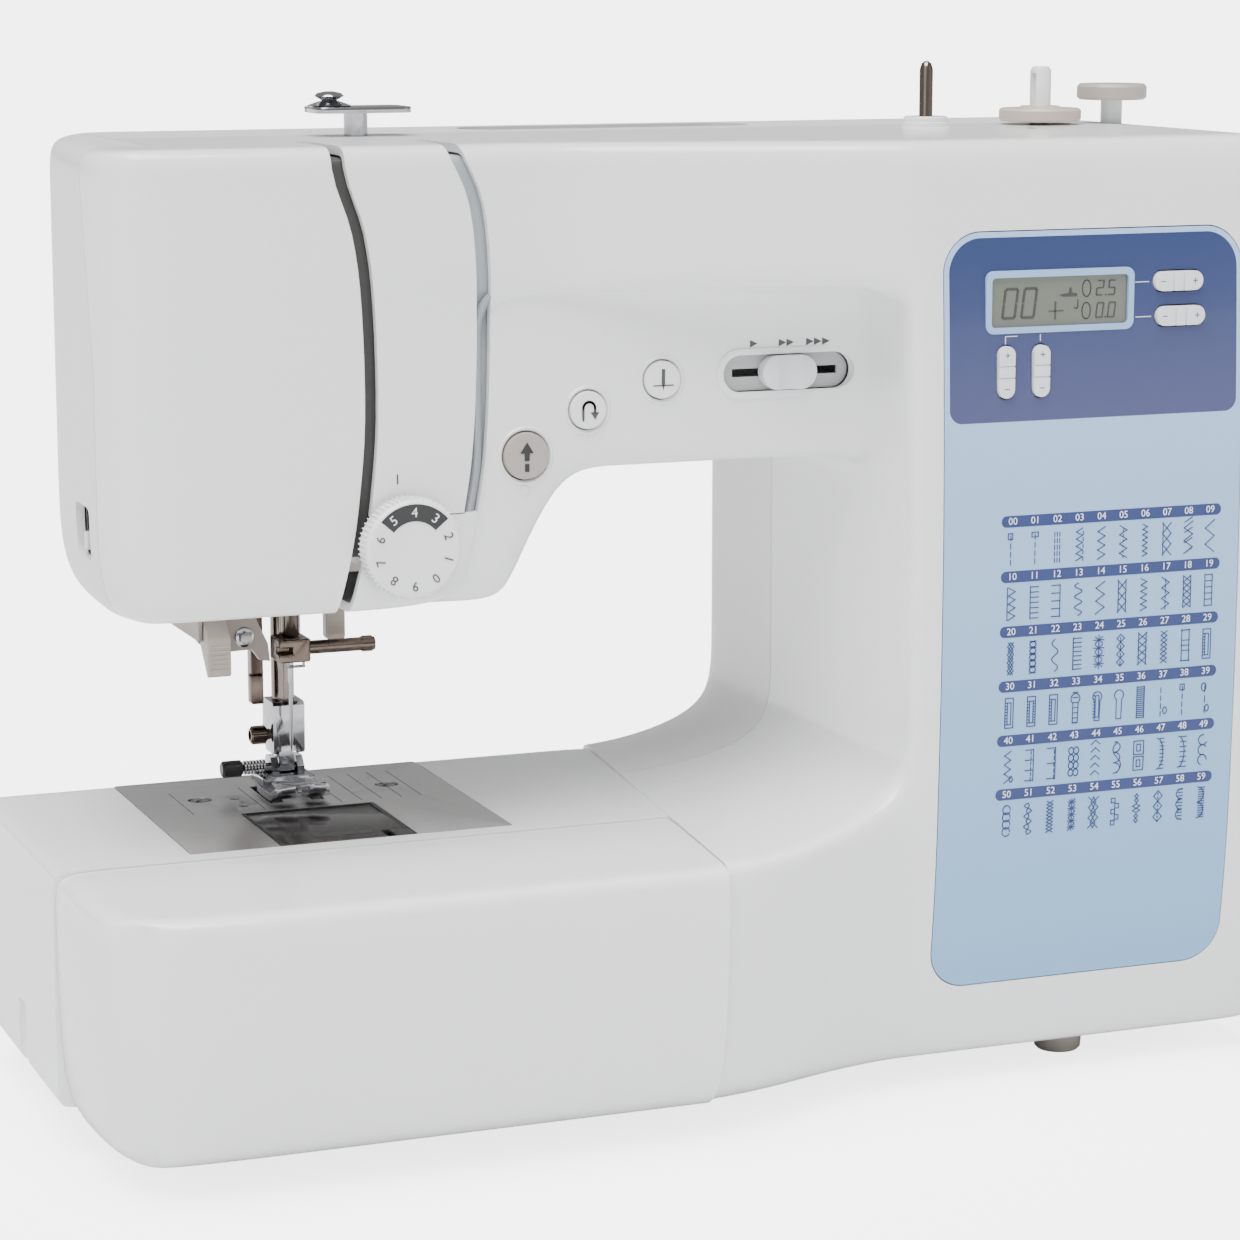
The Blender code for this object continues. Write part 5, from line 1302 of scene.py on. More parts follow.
on_button = flat(Y_RECESS - 1.42)
arrow = bmesh.new()
x, z = node_centre("start_stop_button")
slab(arrow,
     shifted([(-0.75, -1.4), (0.75, -1.4), (0.75, 0.8), (2.0, 0.8), (0, 4.0), (-2.0, 0.8),
              (-0.75, 0.8)], x, z), on_button, 0.2)
stroke(arrow, (x, z - 3.9), (x, z - 2.9), 1.3, on_button, 0.2)
print_piece("start_arrow", "start_stop_button", BLACK, arrow)
turn_mark = bmesh.new()
x, z = node_centre("reverse_button")
lines(turn_mark,
      [(x - 1.8, z - 2.2), (x - 1.8, z + 0.6)] + ring_line(x, z + 0.6, 1.8, 1.8, 180, -180,
    12) + [(x + 1.8, z - 0.6)], 0.7, on_button, 0.2)
slab(turn_mark, [(x + 0.5, z - 0.6), (x + 1.8, z - 2.8), (x + 3.1, z - 0.6)], on_button, 0.2)
stroke(turn_mark, (x - 1.8, z - 2.9), (x - 1.8, z - 2.7), 0.5, on_button, 0.2)
print_piece("reverse_arrow", "reverse_button", MARK_GREY, turn_mark)
needle_mark = bmesh.new()
x, z = node_centre("needle_position_button")
lines(needle_mark, [(x - 3.0, z - 1.6), (x + 3.0, z - 1.6)], 0.35, on_button, 0.2)
slab(needle_mark, shifted([(-0.5, 3.2), (-0.5, -1.0), (0, -3.0), (0.5, -1.0), (0.5, 3.2)], x, z),
     on_button, 0.2)
print_piece("needle_mark", "needle_position_button", MARK_GREY, needle_mark)

# %% Speed slider
rim = prism(stadium(*SPEED, 22.2, 7.2), "y", Y_RECESS - 0.7, Y_RECESS + 0.4)
piece("speed_rim", "root", WHITE, rim, edge=0.4,
      cut=[prism(stadium(*SPEED, 20.3, 5.4), "y", -FAR, 0)])
track = prism(stadium(*SPEED, 20.1, 5.2), "y", Y_RECESS + 1.3, Y_RECESS + 2.3)
piece("speed_track", "root", TRACK, track, cut=[
    block(about(SPEED[0], 16.8), (-FAR, 0), about(SPEED[1], 1.2))])
knob = prism(stadium(*SPEED, 8.6, 5.0), "y", Y_RECESS - 3.0, Y_RECESS + 1.1)
scoop = rod("z", (SPEED[0], Y_RECESS - 8.3), 6.4, SPEED[1] - 10, SPEED[1] + 10)
piece("speed_knob", "speed_slider", PALE, knob, cut=[scoop], edge=0.5, nodes=["speed_slider"])
piece("speed_stem", "speed_slider", GREY,
      block(about(SPEED[0], 6), (Y_RECESS + 0.9, Y_RECESS + 6.4), about(SPEED[1], 1.0)), edge=0.2)
arrows = bmesh.new()
for count, x in ((1, SPEED[0] - 10.4), (2, SPEED[0]), (3, SPEED[0] + 10.0)):
    for k in range(count):
        left = x + (k - count / 2) * 2.5
        z = SPEED[1] + 8.6
        slab(arrows, [(left, z - 1.1), (left + 2.4, z), (left, z + 1.1)], front_skin)
print_piece("speed_marks", "root", MARK_GREY, arrows)
catch = turned("y",
               (node_centre("start_stop_button")[0] - 0.4,
                node_centre("start_stop_button")[1] - 10.0),
               shifted([(0, -0.35), (1.2, -0.3), (1.7, 0.3), (0, 0.3)], v=Y_RECESS), 32)
piece("start_lamp", "root", WHITE, catch)
print("buttons and slider done")

# %% [markdown]
# ## Thread tension dial
# A turned disc with a knurled rim. The knurl is one small rib turned round the axis sixty times.
# The dark window at the top shows the normal settings in white; the other numbers are grey.

# %% Dial
dial_y = span("tension_dial")[1]
DIAL_R = 14.6
dial_face = dial_y[0]
profile = [(0, dial_face + 0.5), (8.0, dial_face + 0.35), (DIAL_R - 2.2, dial_face + 0.1),
           (DIAL_R - 1.6, dial_face + 0.05), (DIAL_R - 0.9, dial_face + 0.5),
           (DIAL_R - 0.6, dial_face + 1.4), (DIAL_R - 0.55, dial_face + 7.2),
           (DIAL_R - 1.2, dial_face + 7.5), (5.4, dial_face + 7.6), (5.4, dial_y[1]),
           (0, dial_y[1])]
piece("dial_disc", "tension_dial", WHITE, turned("y", DIAL, profile, 96), nodes=["tension_dial"])
rib = prism(shifted([(DIAL[0] + DIAL_R - 1.0, -0.42), (DIAL[0] + DIAL_R - 0.05, -0.16),
                     (DIAL[0] + DIAL_R - 0.05, 0.16), (DIAL[0] + DIAL_R - 1.0, 0.42)], v=DIAL[1]),
            "y", dial_face + 1.3, dial_face + 7.1)
ring_piece("dial_ribs", "tension_dial", WHITE, rib, 60, (DIAL[0], 0.0, DIAL[1]), (0.0, 1.0, 0.0))


def on_dial(x, z):
    reach = math.hypot(x - DIAL[0], z - DIAL[1])
    return dial_face + 0.5 - 0.4 * min(reach / (DIAL_R - 2.2), 1.0)


window = bmesh.new()
arc = [math.radians(90 + a) for a in range(-50, 51, 5)]
outline = [(DIAL[0] + 12.9 * math.cos(a), DIAL[1] + 12.9 * math.sin(a)) for a in arc]
outline += [(DIAL[0] + 8.0 * math.cos(a), DIAL[1] + 8.0 * math.sin(a)) for a in arc[::-1]]
for k in range(20):
    slab(window, [outline[k], outline[k + 1], outline[40 - k], outline[41 - k]], on_dial, 0.08)
print_piece("dial_window", "tension_dial", BLACK, window)
for label, material, chosen in (("dial_numbers", MARK_GREY, "6789012"),
                                ("dial_window_numbers", MARK_WHITE, "345")):
    figures = bmesh.new()
    for mark in chosen:
        a = math.radians(90 + 36 * (int(mark) - 4))
        add_text(figures, mark, DIAL[0] + 10.4 * math.cos(a), DIAL[1] + 10.4 * math.sin(a), 3.9,
                 on_dial, turn=a - math.pi / 2, lift=0.14)
    print_piece(label, "tension_dial", material, figures)
pointer = bmesh.new()
stroke(pointer, (DIAL[0] - 2.0, DIAL[1] + 17.6), (DIAL[0] - 2.0, DIAL[1] + 20.0), 0.45, front_skin)
print_piece("dial_pointer", "root", MARK_GREY, pointer)

print("dial done")

# %% [markdown]
# ## Needle plate and bobbin cover
# The plate is brushed steel: its noise is drawn out along X. Guide lines stand right and left of
# the needle, and each set is one thin bar set out by the row tree.
# The bobbin cover is smoked clear plastic. A clear plastic needs transmission, a dark tint and very
# low roughness.

# %% Needle plate
def smoked(name, colour, rough=0.06, weight=0.9):
    material, tree, shader, coords = new_material(name)
    shader.inputs["Base Color"].default_value = (*colour, 1.0)
    shader.inputs["Transmission Weight"].default_value = weight
    shader.inputs["IOR"].default_value = 1.3
    tree.links.new(spread(tree, noise(tree, coords, 60.0), rough * 0.6, rough * 1.6),
                   shader.inputs["Roughness"])
    return material


SMOKED = smoked("smoked_cover", (0.11, 0.10, 0.095), 0.1, 0.7)
CLEAR = smoked("clear_plastic", (0.90, 0.92, 0.93), 0.04, 0.95)
PLATE_T = 1.2
feed = [about(NEEDLE_X + s * 6.5, 2.1) for s in (-1, 1)]
screw_spots = [plan_centre(name) for name in ("plate_screw_left", "plate_screw_right")]
door = span("bobbin_cover")
cuts = [block(x, (36.0, 60.0), THROUGH) for x in feed]
cuts.append(prism(stadium(NEEDLE_X, NEEDLE_Y, 3.2, 1.3), "z", *THROUGH))
cuts.append(block(grown(door[0], 0.35), (plate_y[0] - 5, door[1][1] + 0.35), THROUGH))
cuts += [rod("z", (NEEDLE_X - 17.0, y), 1.6, *THROUGH, 24) for y in (36.0, 46.0)]
cuts += [rod("z", spot, 3.7, *THROUGH) for spot in screw_spots]
shape = prism(rounded(plate_x, plate_y, 1.0), "z", BED_TOP - PLATE_T, BED_TOP)
piece("needle_plate_face", "root", PLATE, shape, cut=cuts, edge=0.2, segments=2,
      nodes=["needle_plate"])

# %% Plate screws and guide lines
for name, spot in zip(("plate_screw_left", "plate_screw_right"), screw_spots):
    head = turned("z", spot,
                  shifted([(0, -1.3), (3.3, -1.3), (3.3, -0.5), (2.6, -0.15), (0, -0.02)],
                          v=BED_TOP), 48)
    slot_angle = 0.9
    dx, dy = math.cos(slot_angle), math.sin(slot_angle)
    groove = prism([(spot[0] + u * dx - v * dy, spot[1] + u * dy + v * dx) for u,
                    v in ((-4, -0.4), (4, -0.4), (4, 0.4), (-4, 0.4))], "z", BED_TOP - 0.8,
                   BED_TOP + 1)
    piece(name + "_head", "root", STEEL, head, cut=[groove], edge=0.08, segments=2, nodes=[name])
    piece(name + "_gap", "root", BLACK, peg("z", spot, 3.8, BED_TOP - 2.2, BED_TOP - 1.5, 32))
guide = block((NEEDLE_X + 12.0, NEEDLE_X + 12.3), (30.0, 66.0), (BED_TOP - 0.1, BED_TOP + 0.03))
row_piece("plate_guides_right", "root", MARK_GREY, guide, 5, (6.35, 0.0, 0.0))
guide = block((NEEDLE_X - 12.3, NEEDLE_X - 12.0), (30.0, 60.0), (BED_TOP - 0.1, BED_TOP + 0.03))
row_piece("plate_guides_left", "root", MARK_GREY, guide, 2, (-22.0, 0.0, 0.0))

# %% Bobbin cover and latch
latch = span("cover_latch")


def latch_room():
    return block((latch[0][0] - 2.5, FAR), (-FAR, latch[1][1] + 0.3), THROUGH)


glass = block(door[0], door[1], (BED_TOP - 1.2, BED_TOP - 0.1))
piece("bobbin_window", "bobbin_cover", SMOKED, glass, cut=[latch_room()], edge=0.15, segments=2,
      nodes=["bobbin_cover"])
rim_shape = block(door[0], door[1], (BED_TOP - 0.5, BED_TOP - 0.02))
rim_cut = block(grown(door[0], -0.9), grown(door[1], -0.9), THROUGH)
piece("bobbin_window_frame", "bobbin_cover", BLACK, rim_shape, cut=[rim_cut, latch_room()])
piece("cover_latch_tab", "cover_latch", BLACK, block(*latch[:2], (BED_TOP - 2.2, BED_TOP - 0.05)),
      edge=0.3, nodes=["cover_latch"])
rib = block(grown(latch[0], -0.8), (latch[1][0] + 1.2, latch[1][0] + 1.6), (BED_TOP - 0.2, BED_TOP))
row_piece("cover_latch_ribs", "cover_latch", MARK_GREY, rib, 5, (0.0, 1.1, 0.0))
piece("bobbin_path_label", "bobbin_cover", BLACK,
      block((NEEDLE_X - 8.0, NEEDLE_X + 9.5), (-10.5, -6.5), (BED_TOP - 0.4, BED_TOP - 0.04)))
tray = block(grown(door[0], -1.0), grown(door[1], -1.0), (BED_TOP - 7.4, BED_TOP - 6.4))
piece("bobbin_tray", "root", BLACK, tray, cut=[rod("z", (NEEDLE_X, 19.0), 15.6, 0, FAR)])
print("plate and bobbin cover done")

# %% [markdown]
# ## Feed teeth
# The two rows of teeth that push the cloth are one wedge, repeated along Y. They rise a hair above
# the plate through its slots.

# %% Feed rows
wedge_y, wedge_z = 38.6, BED_TOP - 0.9
for side, (x0, x1) in zip(("left", "right"), feed):
    tooth = prism(shifted([(0, 0), (1.45, 0), (0.35, 0.8)], wedge_y, wedge_z), "x", x0 + 0.5,
                  x1 - 0.5)
    row_piece(f"feed_teeth_{side}", "feed_dog", STEEL, tooth, 13, (0.0, 1.45, 0.0))
    piece(f"feed_rail_{side}", "feed_dog", STEEL,
          block((x0 + 0.5, x1 - 0.5), (38.5, 57.5), (BED_TOP - 3.0, wedge_z + 0.05)))

# %% [markdown]
# ## Needle and presser group
# Rods are turned, blocks are milled, and each thumbscrew gets its knurl from the ring tree. The
# clamp, the holder and the foot are plated; the small levers beside them are beige plastic.

# %% Needle bar, clamp and needle
rod_box = span("needle_bar")
bar = (NEEDLE_X, middle(rod_box[1]))
low, high = rod_box[2]
piece("needle_bar_rod", "needle_bar", BAR, turned("z", bar, [
    (0, low), (2.7, low), (3.2, low + 0.6), (3.2, high), (0, high)], 48), nodes=["needle_bar"])
clamp = span("needle_clamp")
body = prism(rounded(clamp[0], clamp[1], 1.6), "z", *clamp[2])
piece("needle_clamp_block", "needle_bar", BRONZE, body, edge=0.5, nodes=["needle_clamp"],
      cut=[rod("x", (middle(span("clamp_screw")[1]), middle(clamp[2])), 2.45, clamp[0][1] - 3.0,
               FAR, 24),
           block((clamp[0][0] - 1, NEEDLE_X - 1.0), (clamp[1][0] - 1, bar[1] - 2.5),
                 (clamp[2][0] + 2.6, clamp[2][1] - 2.4))])
guide_wire = together([rod("x", (clamp[1][0] + 1.5, clamp[2][0] - 1.4), 0.45, NEEDLE_X - 2.6,
                           NEEDLE_X + 3.0, 16),
                       rod("z", (NEEDLE_X + 2.6, clamp[1][0] + 1.5), 0.45, clamp[2][0] - 1.6,
                           clamp[2][0] + 0.6, 16),
                       rod("z", (NEEDLE_X - 2.2, clamp[1][0] + 1.5), 0.45, clamp[2][0] - 1.6,
                           clamp[2][0] + 0.6, 16)])
piece("needle_thread_guide", "needle_bar", STEEL, guide_wire)
tip = span("needle")[2][0]
shank = [(0, tip), (0.28, tip + 1.2), (0.62, tip + 4.5), (0.62, clamp[2][0] - 8.0),
         (1.0, clamp[2][0] - 6.5), (1.0, clamp[2][0] + 3.0), (0, clamp[2][0] + 3.0)]
piece("needle_steel", "needle_bar", CHROME, turned("z", (NEEDLE_X, NEEDLE_Y), shank, 20),
      nodes=["needle"])


# %% Thumbscrews
def thumbscrew(name, head, stem, share, teeth):
    """Screw along X with a knurled head: head is -1 for its left end, 1 for its right end."""
    (x0, x1), y_box, z_box = span(name)
    y, z = middle(y_box), middle(z_box)
    grip = (x1 - x0) * share
    outer, inner = (x0, x0 + grip) if head < 0 else (x1 - grip, x1)
    radius = (z_box[1] - z_box[0]) / 2
    piece(name + "_stem", name, BRONZE, peg("x", (y, z), stem, x0, x1, 24))
    cap = [(0, outer), (radius - 0.9, outer), (radius - 0.35, outer + 0.5),
           (radius - 0.35, inner - 0.5), (radius - 0.9, inner), (0, inner)]
    piece(name + "_head", name, BRONZE, turned("x", (y, z), cap, 40), nodes=[name])
    tooth = prism([(y - 0.26, z + radius - 0.7), (y + 0.26, z + radius - 0.7),
                   (y, z + radius - 0.02)], "x", outer + 0.6, inner - 0.6)
    ring_piece(name + "_knurl", name, BRONZE, tooth, teeth, (0.0, y, z), (1.0, 0.0, 0.0))


thumbscrew("clamp_screw", 1, 2.1, 0.2, 9)
thumbscrew("foot_screw", -1, 1.5, 0.62, 24)

# %% Presser bar and foot holder
FOOT_SCREW_AXIS = (55.0, 101.3)  # Y and Z
bar = plan_centre("presser_bar")
low, high = span("presser_bar")[2]
piece("presser_bar_rod", "presser_bar", BAR, peg("z", bar, 3.5, low, high, 48),
      nodes=["presser_bar"])
hx, hy, hz = span("foot_holder")
side_view = [(hy[0], hz[0] + 1.0), (hy[0] + 1.0, hz[0]), (hy[1] - 3.0, hz[0]),
             (hy[1] - 1.5, hz[0] + 3.0), (hy[1], hz[0] + 7.0), (hy[1], hz[1] - 1.0),
             (hy[1] - 1.0, hz[1]), (hy[0] + 1.0, hz[1]), (hy[0], hz[1] - 1.0)]
foot_low = block(grown(hx, -2.5), (hy[0] - 1, hy[1] - 3.4), (hz[0] - 1, hz[0] + 2.6))
piece("foot_holder_block", "presser_bar", CHROME, prism(side_view, "x", *hx), edge=0.7,
      nodes=["foot_holder"],
      cut=[foot_low, rod("x", FOOT_SCREW_AXIS, 1.8, hx[0] - 2.0, hx[0] + 3.4, 24)])

# %% Zigzag foot
foot = span("presser_foot")
sole_z = (foot[2][0], foot[2][0] + 2.4)
TILT_AXIS, PIN_AXIS = (54.0, 91.5), (52.5, sole_z[1] + 3.8)  # Y and Z
fx, fy = (NEEDLE_X - 9.3, NEEDLE_X + 8.8), (foot[1][0], 58.0)
outline = [(fx[0] + 2.0, fy[1]), (fx[0] + 0.4, fy[1] - 8), (fx[0], fy[1] - 14), (fx[0], fy[0] + 3),
           (fx[0] + 0.8, fy[0] + 0.8), (fx[0] + 2.4, fy[0]), (NEEDLE_X - 2.9, fy[0]),
           (NEEDLE_X - 1.9, fy[0] + 1.0), (NEEDLE_X - 1.5, fy[0] + 8.4),
           (NEEDLE_X + 1.5, fy[0] + 8.4), (NEEDLE_X + 1.9, fy[0] + 1.0), (NEEDLE_X + 2.9, fy[0]),
           (fx[1] - 2.4, fy[0]), (fx[1] - 0.8, fy[0] + 0.8), (fx[1], fy[0] + 3),
           (fx[1], fy[1] - 14), (fx[1] - 0.4, fy[1] - 8), (fx[1] - 2.0, fy[1])]


def curl(obj):
    """Lifts the toes of the foot in a curve; the sole is cut into slices first."""
    bm = bmesh.new()
    bm.from_mesh(obj.data)
    for k in range(1, 9):
        bmesh.ops.bisect_plane(bm, geom=bm.verts[:] + bm.edges[:] + bm.faces[:],
                               plane_co=(0, fy[0] + k, 0), plane_no=(0, 1, 0))
    for vertex in bm.verts:
        reach = max(fy[0] + 8.5 - vertex.co.y, 0.0)
        vertex.co.z += 0.045 * reach * reach
    bm.to_mesh(obj.data)
    bm.free()


sole = raw_object("foot_sole", prism(outline, "z", *sole_z))
carve(sole, prism(stadium(NEEDLE_X, NEEDLE_Y, 4.2, 1.5), "z", 0, FAR))
curl(sole)
soften(sole, 0.35, 2)
ankle = prism(shifted([(-10.0, sole_z[1] - 0.6), (-1.0, sole_z[1] - 0.6), (-1.0, sole_z[1] + 5.4),
                       (-2.5, foot[2][1]), (-7.5, foot[2][1]), (-10.0, sole_z[1] + 4.6)], u=fy[1]),
              "x", NEEDLE_X - 4.4, NEEDLE_X + 5.8)
combine(sole, ankle, "UNION")
carve(sole,
      block((NEEDLE_X - 2.2, NEEDLE_X + 3.6), (fy[1] - 12, fy[1] + 2), (sole_z[1] + 1.4, FAR)))
finish_piece(sole, "foot_sole", "presser_foot", CHROME, ["presser_foot"], 35.0)
bridge = block(grown(fx, -0.7), (NEEDLE_Y + 2.6, fy[1] - 0.6), (sole_z[1] - 0.3, sole_z[1] + 2.6))
dips = [rod("y", (NEEDLE_X + s * 7.0, sole_z[1] + 3.2), 1.5, 0, FAR, 24) for s in (-1, 1)]
dips.append(block((NEEDLE_X - 2.3, NEEDLE_X + 3.7), (48.6, 56.4), (0, FAR)))
piece("foot_bridge", "presser_foot", CHROME, bridge, cut=dips, edge=0.4)
coil = turned("x", TILT_AXIS,
              shifted([(1.1, 7.0), (2.2, 7.0), (2.2, 7.6), (1.1, 7.6)], v=foot[0][0]), 24)
row_piece("foot_spring", "presser_foot", CHROME, coil, 7, (1.0, 0.0, 0.0))
tongue = block((NEEDLE_X - 1.6, NEEDLE_X + 3.0), (49.8, 55.2), (sole_z[1] + 2.2, hz[0] + 3.4))
piece("holder_tongue", "presser_bar", CHROME, tongue, edge=0.4,
      cut=[rod("x", PIN_AXIS, 1.5, NEEDLE_X - 4, NEEDLE_X + 5, 24)])
piece("foot_pin", "presser_foot", STEEL,
      rod("x", PIN_AXIS, 1.2, NEEDLE_X - 5.4, NEEDLE_X + 6.0, 24))
knob_x = foot[0][0]
piece("foot_knob", "presser_foot", BLACK,
      together([turned("x", TILT_AXIS,
                       shifted([(0, 0), (2.0, 0), (2.6, 0.6), (2.6, 5.9), (2.0, 6.5), (0, 6.5)],
                               v=knob_x), 32),
                peg("x", TILT_AXIS, 1.0, knob_x + 6.2, NEEDLE_X - 3.6, 20)]))
piece("foot_window", "presser_foot", CLEAR,
      prism(rounded((NEEDLE_X - 8.2, NEEDLE_X + 7.8), (fy[0] + 1.8, fy[0] + 8.2), 1.0), "z",
            sole_z[1] + 2.2, sole_z[1] + 3.0), edge=0.2)

# %% Levers beside the needle
bx, by, bz = span("threader_bracket")
plate = prism([(bx[0], bz[1]), (bx[1] + 10.5, bz[1]), (bx[1] + 10.5, bz[0] + 9.5),
               (bx[1] + 14.0, bz[0] + 2.0), (bx[1] + 14.6, bz[0] - 3.5),
               (bx[1] + 11.5, bz[0] - 3.0), (bx[1] + 9.0, bz[0] + 0.5), (bx[1] + 2.0, bz[0] + 0.2),
               (bx[1] - 1.5, bz[0] + 3.0), (bx[0] + 2.0, bz[0] + 3.0), (bx[0], bz[0] + 6.0)], "y",
              by[0], by[0] + 3.0)
web = block((bx[0], bx[0] + 1.1), (by[0] - 6.0, by[1]), (bz[0] + 5.0, bz[1]))
piece("threader_bracket_plate", "root", BEIGE_DARK, plate, add=[web], edge=0.4,
      nodes=["threader_bracket"])
spot = (bx[1] + 6.6, bz[0] + 4.4)
piece("threader_washer", "root", CHROME,
      turned("y", spot,
             shifted([(0, -0.7), (2.6, -0.7), (3.0, -0.4), (3.0, 0.2), (0, 0.2)], v=by[0]), 40))
hexagon = prism(circle(spot, 2.1, 6), "y", by[0] - 2.4, by[0] - 0.6)
piece("threader_screw", "root", STEEL, hexagon, edge=0.25)
hook_bar = block((NEEDLE_X - 9.6, NEEDLE_X - 5.9), (51.0, 56.0),
                 (HEAD_UNDER - 42.3, HEAD_UNDER + 8.0))
piece("threader_rail", "root", BRONZE, hook_bar, edge=0.5, add=[
    block((NEEDLE_X - 10.4, NEEDLE_X - 6.4), (49.5, 53.0), (HEAD_UNDER - 41.5, HEAD_UNDER - 33.0))])
lx, ly, lz = span("threader_lever")
lx, lz = (lx[0], lx[1] - 1.6), (lz[0] + 3.4, lz[1])
shape = prism([(ly[1], lz[1]), (ly[1] - 3.5, lz[1]), (ly[1] - 3.8, lz[0] + 16.5),
               (ly[0] + 0.6, lz[0] + 12.4), (ly[0], lz[0] + 11.0), (ly[0], lz[0] + 0.8),
               (ly[0] + 0.9, lz[0]), (ly[0] + 3.0, lz[0] + 2.6), (ly[1] - 1.0, lz[0] + 8.0),
               (ly[1], lz[0] + 9.5)], "x", lx[0], lx[1])
piece("threader_finger", "threader_lever", BEIGE, shape, edge=0.6, nodes=["threader_lever"])
rib = block(grown(lx, -1.0), (ly[0] - 0.3, ly[0] + 0.4), (lz[0] + 2.2, lz[0] + 2.7))
row_piece("threader_ribs", "threader_lever", BEIGE, rib, 6, (0.0, 0.0, 1.4))
ox, oy, oz = span("buttonhole_lever")
shape = prism(rounded(ox, (oz[0], oz[1]), 1.4), "y", oy[0] + 1.0, oy[1])
step_block = prism(rounded(grown(ox, -0.2), (oz[0], oz[0] + 12.0), 1.4), "y", oy[0], oy[1] - 1.0)
piece("buttonhole_finger", "buttonhole_lever", BEIGE, shape, add=[step_block], edge=0.5,
      nodes=["buttonhole_lever"])
rib = block(grown(ox, -1.0), (oy[0] - 0.25, oy[0] + 0.3), (oz[0] + 2.0, oz[0] + 2.5))
row_piece("buttonhole_ribs", "buttonhole_lever", BEIGE, rib, 5, (0.0, 0.0, 1.6))
print("needle group done")

# %% [markdown]
# ## Thread cutter
# A little blade stands inside a recess of the head's left end.

# %% Cutter
cy, cz = middle(cutter_y), middle(cutter_z)
recess_x = HEAD_X + 5.5
piece("cutter_floor", "root", GREY,
      block((recess_x, recess_x + 1.2), grown(cutter_y, 0.8), grown(cutter_z, 0.8)))
blade = prism(shifted([(-4.5, -3.5), (5.0, -5.0), (5.0, -1.5), (-1.5, 1.0)], cy, cz), "x",
              recess_x - 2.4, recess_x - 1.8)
piece("cutter_blade", "root", STEEL, blade)
piece("cutter_post", "root", DARKER_WHITE,
      block((recess_x - 3.6, recess_x + 0.4), (cy + 2.0, cy + 6.0), (cz - 6.0, cz - 1.0)), edge=0.4)

# %% [markdown]
# ## Top of the arm
# Spool pin, bobbin winder and its stopper are turned shapes. The first thread guide is a thin plate
# on a turned post, with a waisted disc that the thread runs round.

# %% Spool pin
pin, spot = span("spool_pin"), plan_centre("spool_pin")
top = pin[2][1]
piece("spool_pin_rod", "spool_pin", BAR,
      turned("z", spot,
             [(0, pin[2][0]), (2.1, pin[2][0]), (2.1, top - 2.5), (1.5, top - 0.7), (0.6, top),
              (0, top)], 32), nodes=["spool_pin"])
deck = top_skin(*spot)
piece("spool_pin_base", "root", WHITE,
      turned("z", spot,
             shifted([(2.5, -1.5), (7.4, -1.5), (7.4, 1.2), (6.9, 1.4), (6.9, 2.6), (6.5, 3.0),
                      (2.5, 3.0)], v=deck), 64))

# %% Bobbin winder and stopper
winder, spot = span("bobbin_winder"), (winder_x, winder_y)
top = winder[2][1]
disc = turned("z", spot,
              shifted([(0, -17.0), (12.2, -17.0), (12.9, -16.2), (12.9, -13.6), (12.2, -12.9),
                       (7.0, -12.9), (6.0, -12.2), (0, -12.2)], v=top), 64)
piece("winder_disc", "bobbin_winder", BEIGE, disc)
shaft_shape = turned("z", spot,
                     [(0, winder[2][0]), (3.3, winder[2][0]), (3.3, top - 1.2), (2.5, top),
                      (0, top)], 48)
notch = block((spot[0] - 5.0, spot[0] - 2.0), (spot[1] - 2.0, spot[1] + 0.2),
              (top - 9.0, top - 2.0))
piece("winder_shaft", "bobbin_winder", DARKER_WHITE, shaft_shape, cut=[notch], nodes=["bobbin_winder"])
stopper = span("bobbin_stopper")
spot = (PILLAR_X + 111.5, 22.0)
sz = stopper[2]
piece("stopper_disc", "root", TAUPE,
      turned("z", spot,
             shifted([(0, -5.0), (10.2, -5.0), (11.0, -4.2), (11.0, -0.9), (10.2, 0), (0, -0.3)],
                     v=sz[1]), 64), nodes=["bobbin_stopper"])
piece("stopper_post", "root", PALE, peg("z", spot, 3.4, sz[0], sz[1] - 4.6, 32))

# %% Thread guide
gx, gy, gz = span("thread_guide")
post_at = (gx[1] - 15.0, middle(gy) + 0.5)
wing = prism(rounded((gx[0] + 1.0, gx[1]), (gy[0], gy[1]), 3.0), "z", gz[1] - 6.2, gz[1] - 4.4)
slit = block((gx[0] - 2, gx[0] + 14.0), (middle(gy) + 3.6, middle(gy) + 4.6), (0, FAR))
piece("thread_guide_plate", "root", CHROME, wing, cut=[slit], edge=0.3, nodes=["thread_guide"])
piece("thread_guide_post", "root", CHROME, peg("z", post_at, 3.5, gz[0], gz[1] - 6.0, 32))
disc_at = (gx[0] + 7.0, middle(gy) + 0.5)
piece("thread_guide_disc", "root", CHROME,
      turned("z", disc_at,
             shifted([(0, -4.6), (6.0, -4.6), (6.6, -4.1), (4.2, -3.2), (2.2, -2.6), (4.4, -1.4),
                      (3.6, -0.5), (1.4, 0), (0, 0)], v=gz[1]), 48))
tx, ty = spot[0] - 42.0, -2.0
tz = top_skin(tx, ty)
piece("winder_mark", "root", MARK_GREY,
      prism([(tx - 1.5, ty - 2.0), (tx + 1.5, ty - 2.0), (tx, ty + 1.4)], "z", tz - 0.3, tz + 0.12))
print("top fittings done")

# %% [markdown]
# ## Right end
# The handwheel is a turned dish. Its grip is one rib turned round the axle by the ring tree. The
# power switch is a rocker, and two pins stand in the inlet's pocket.

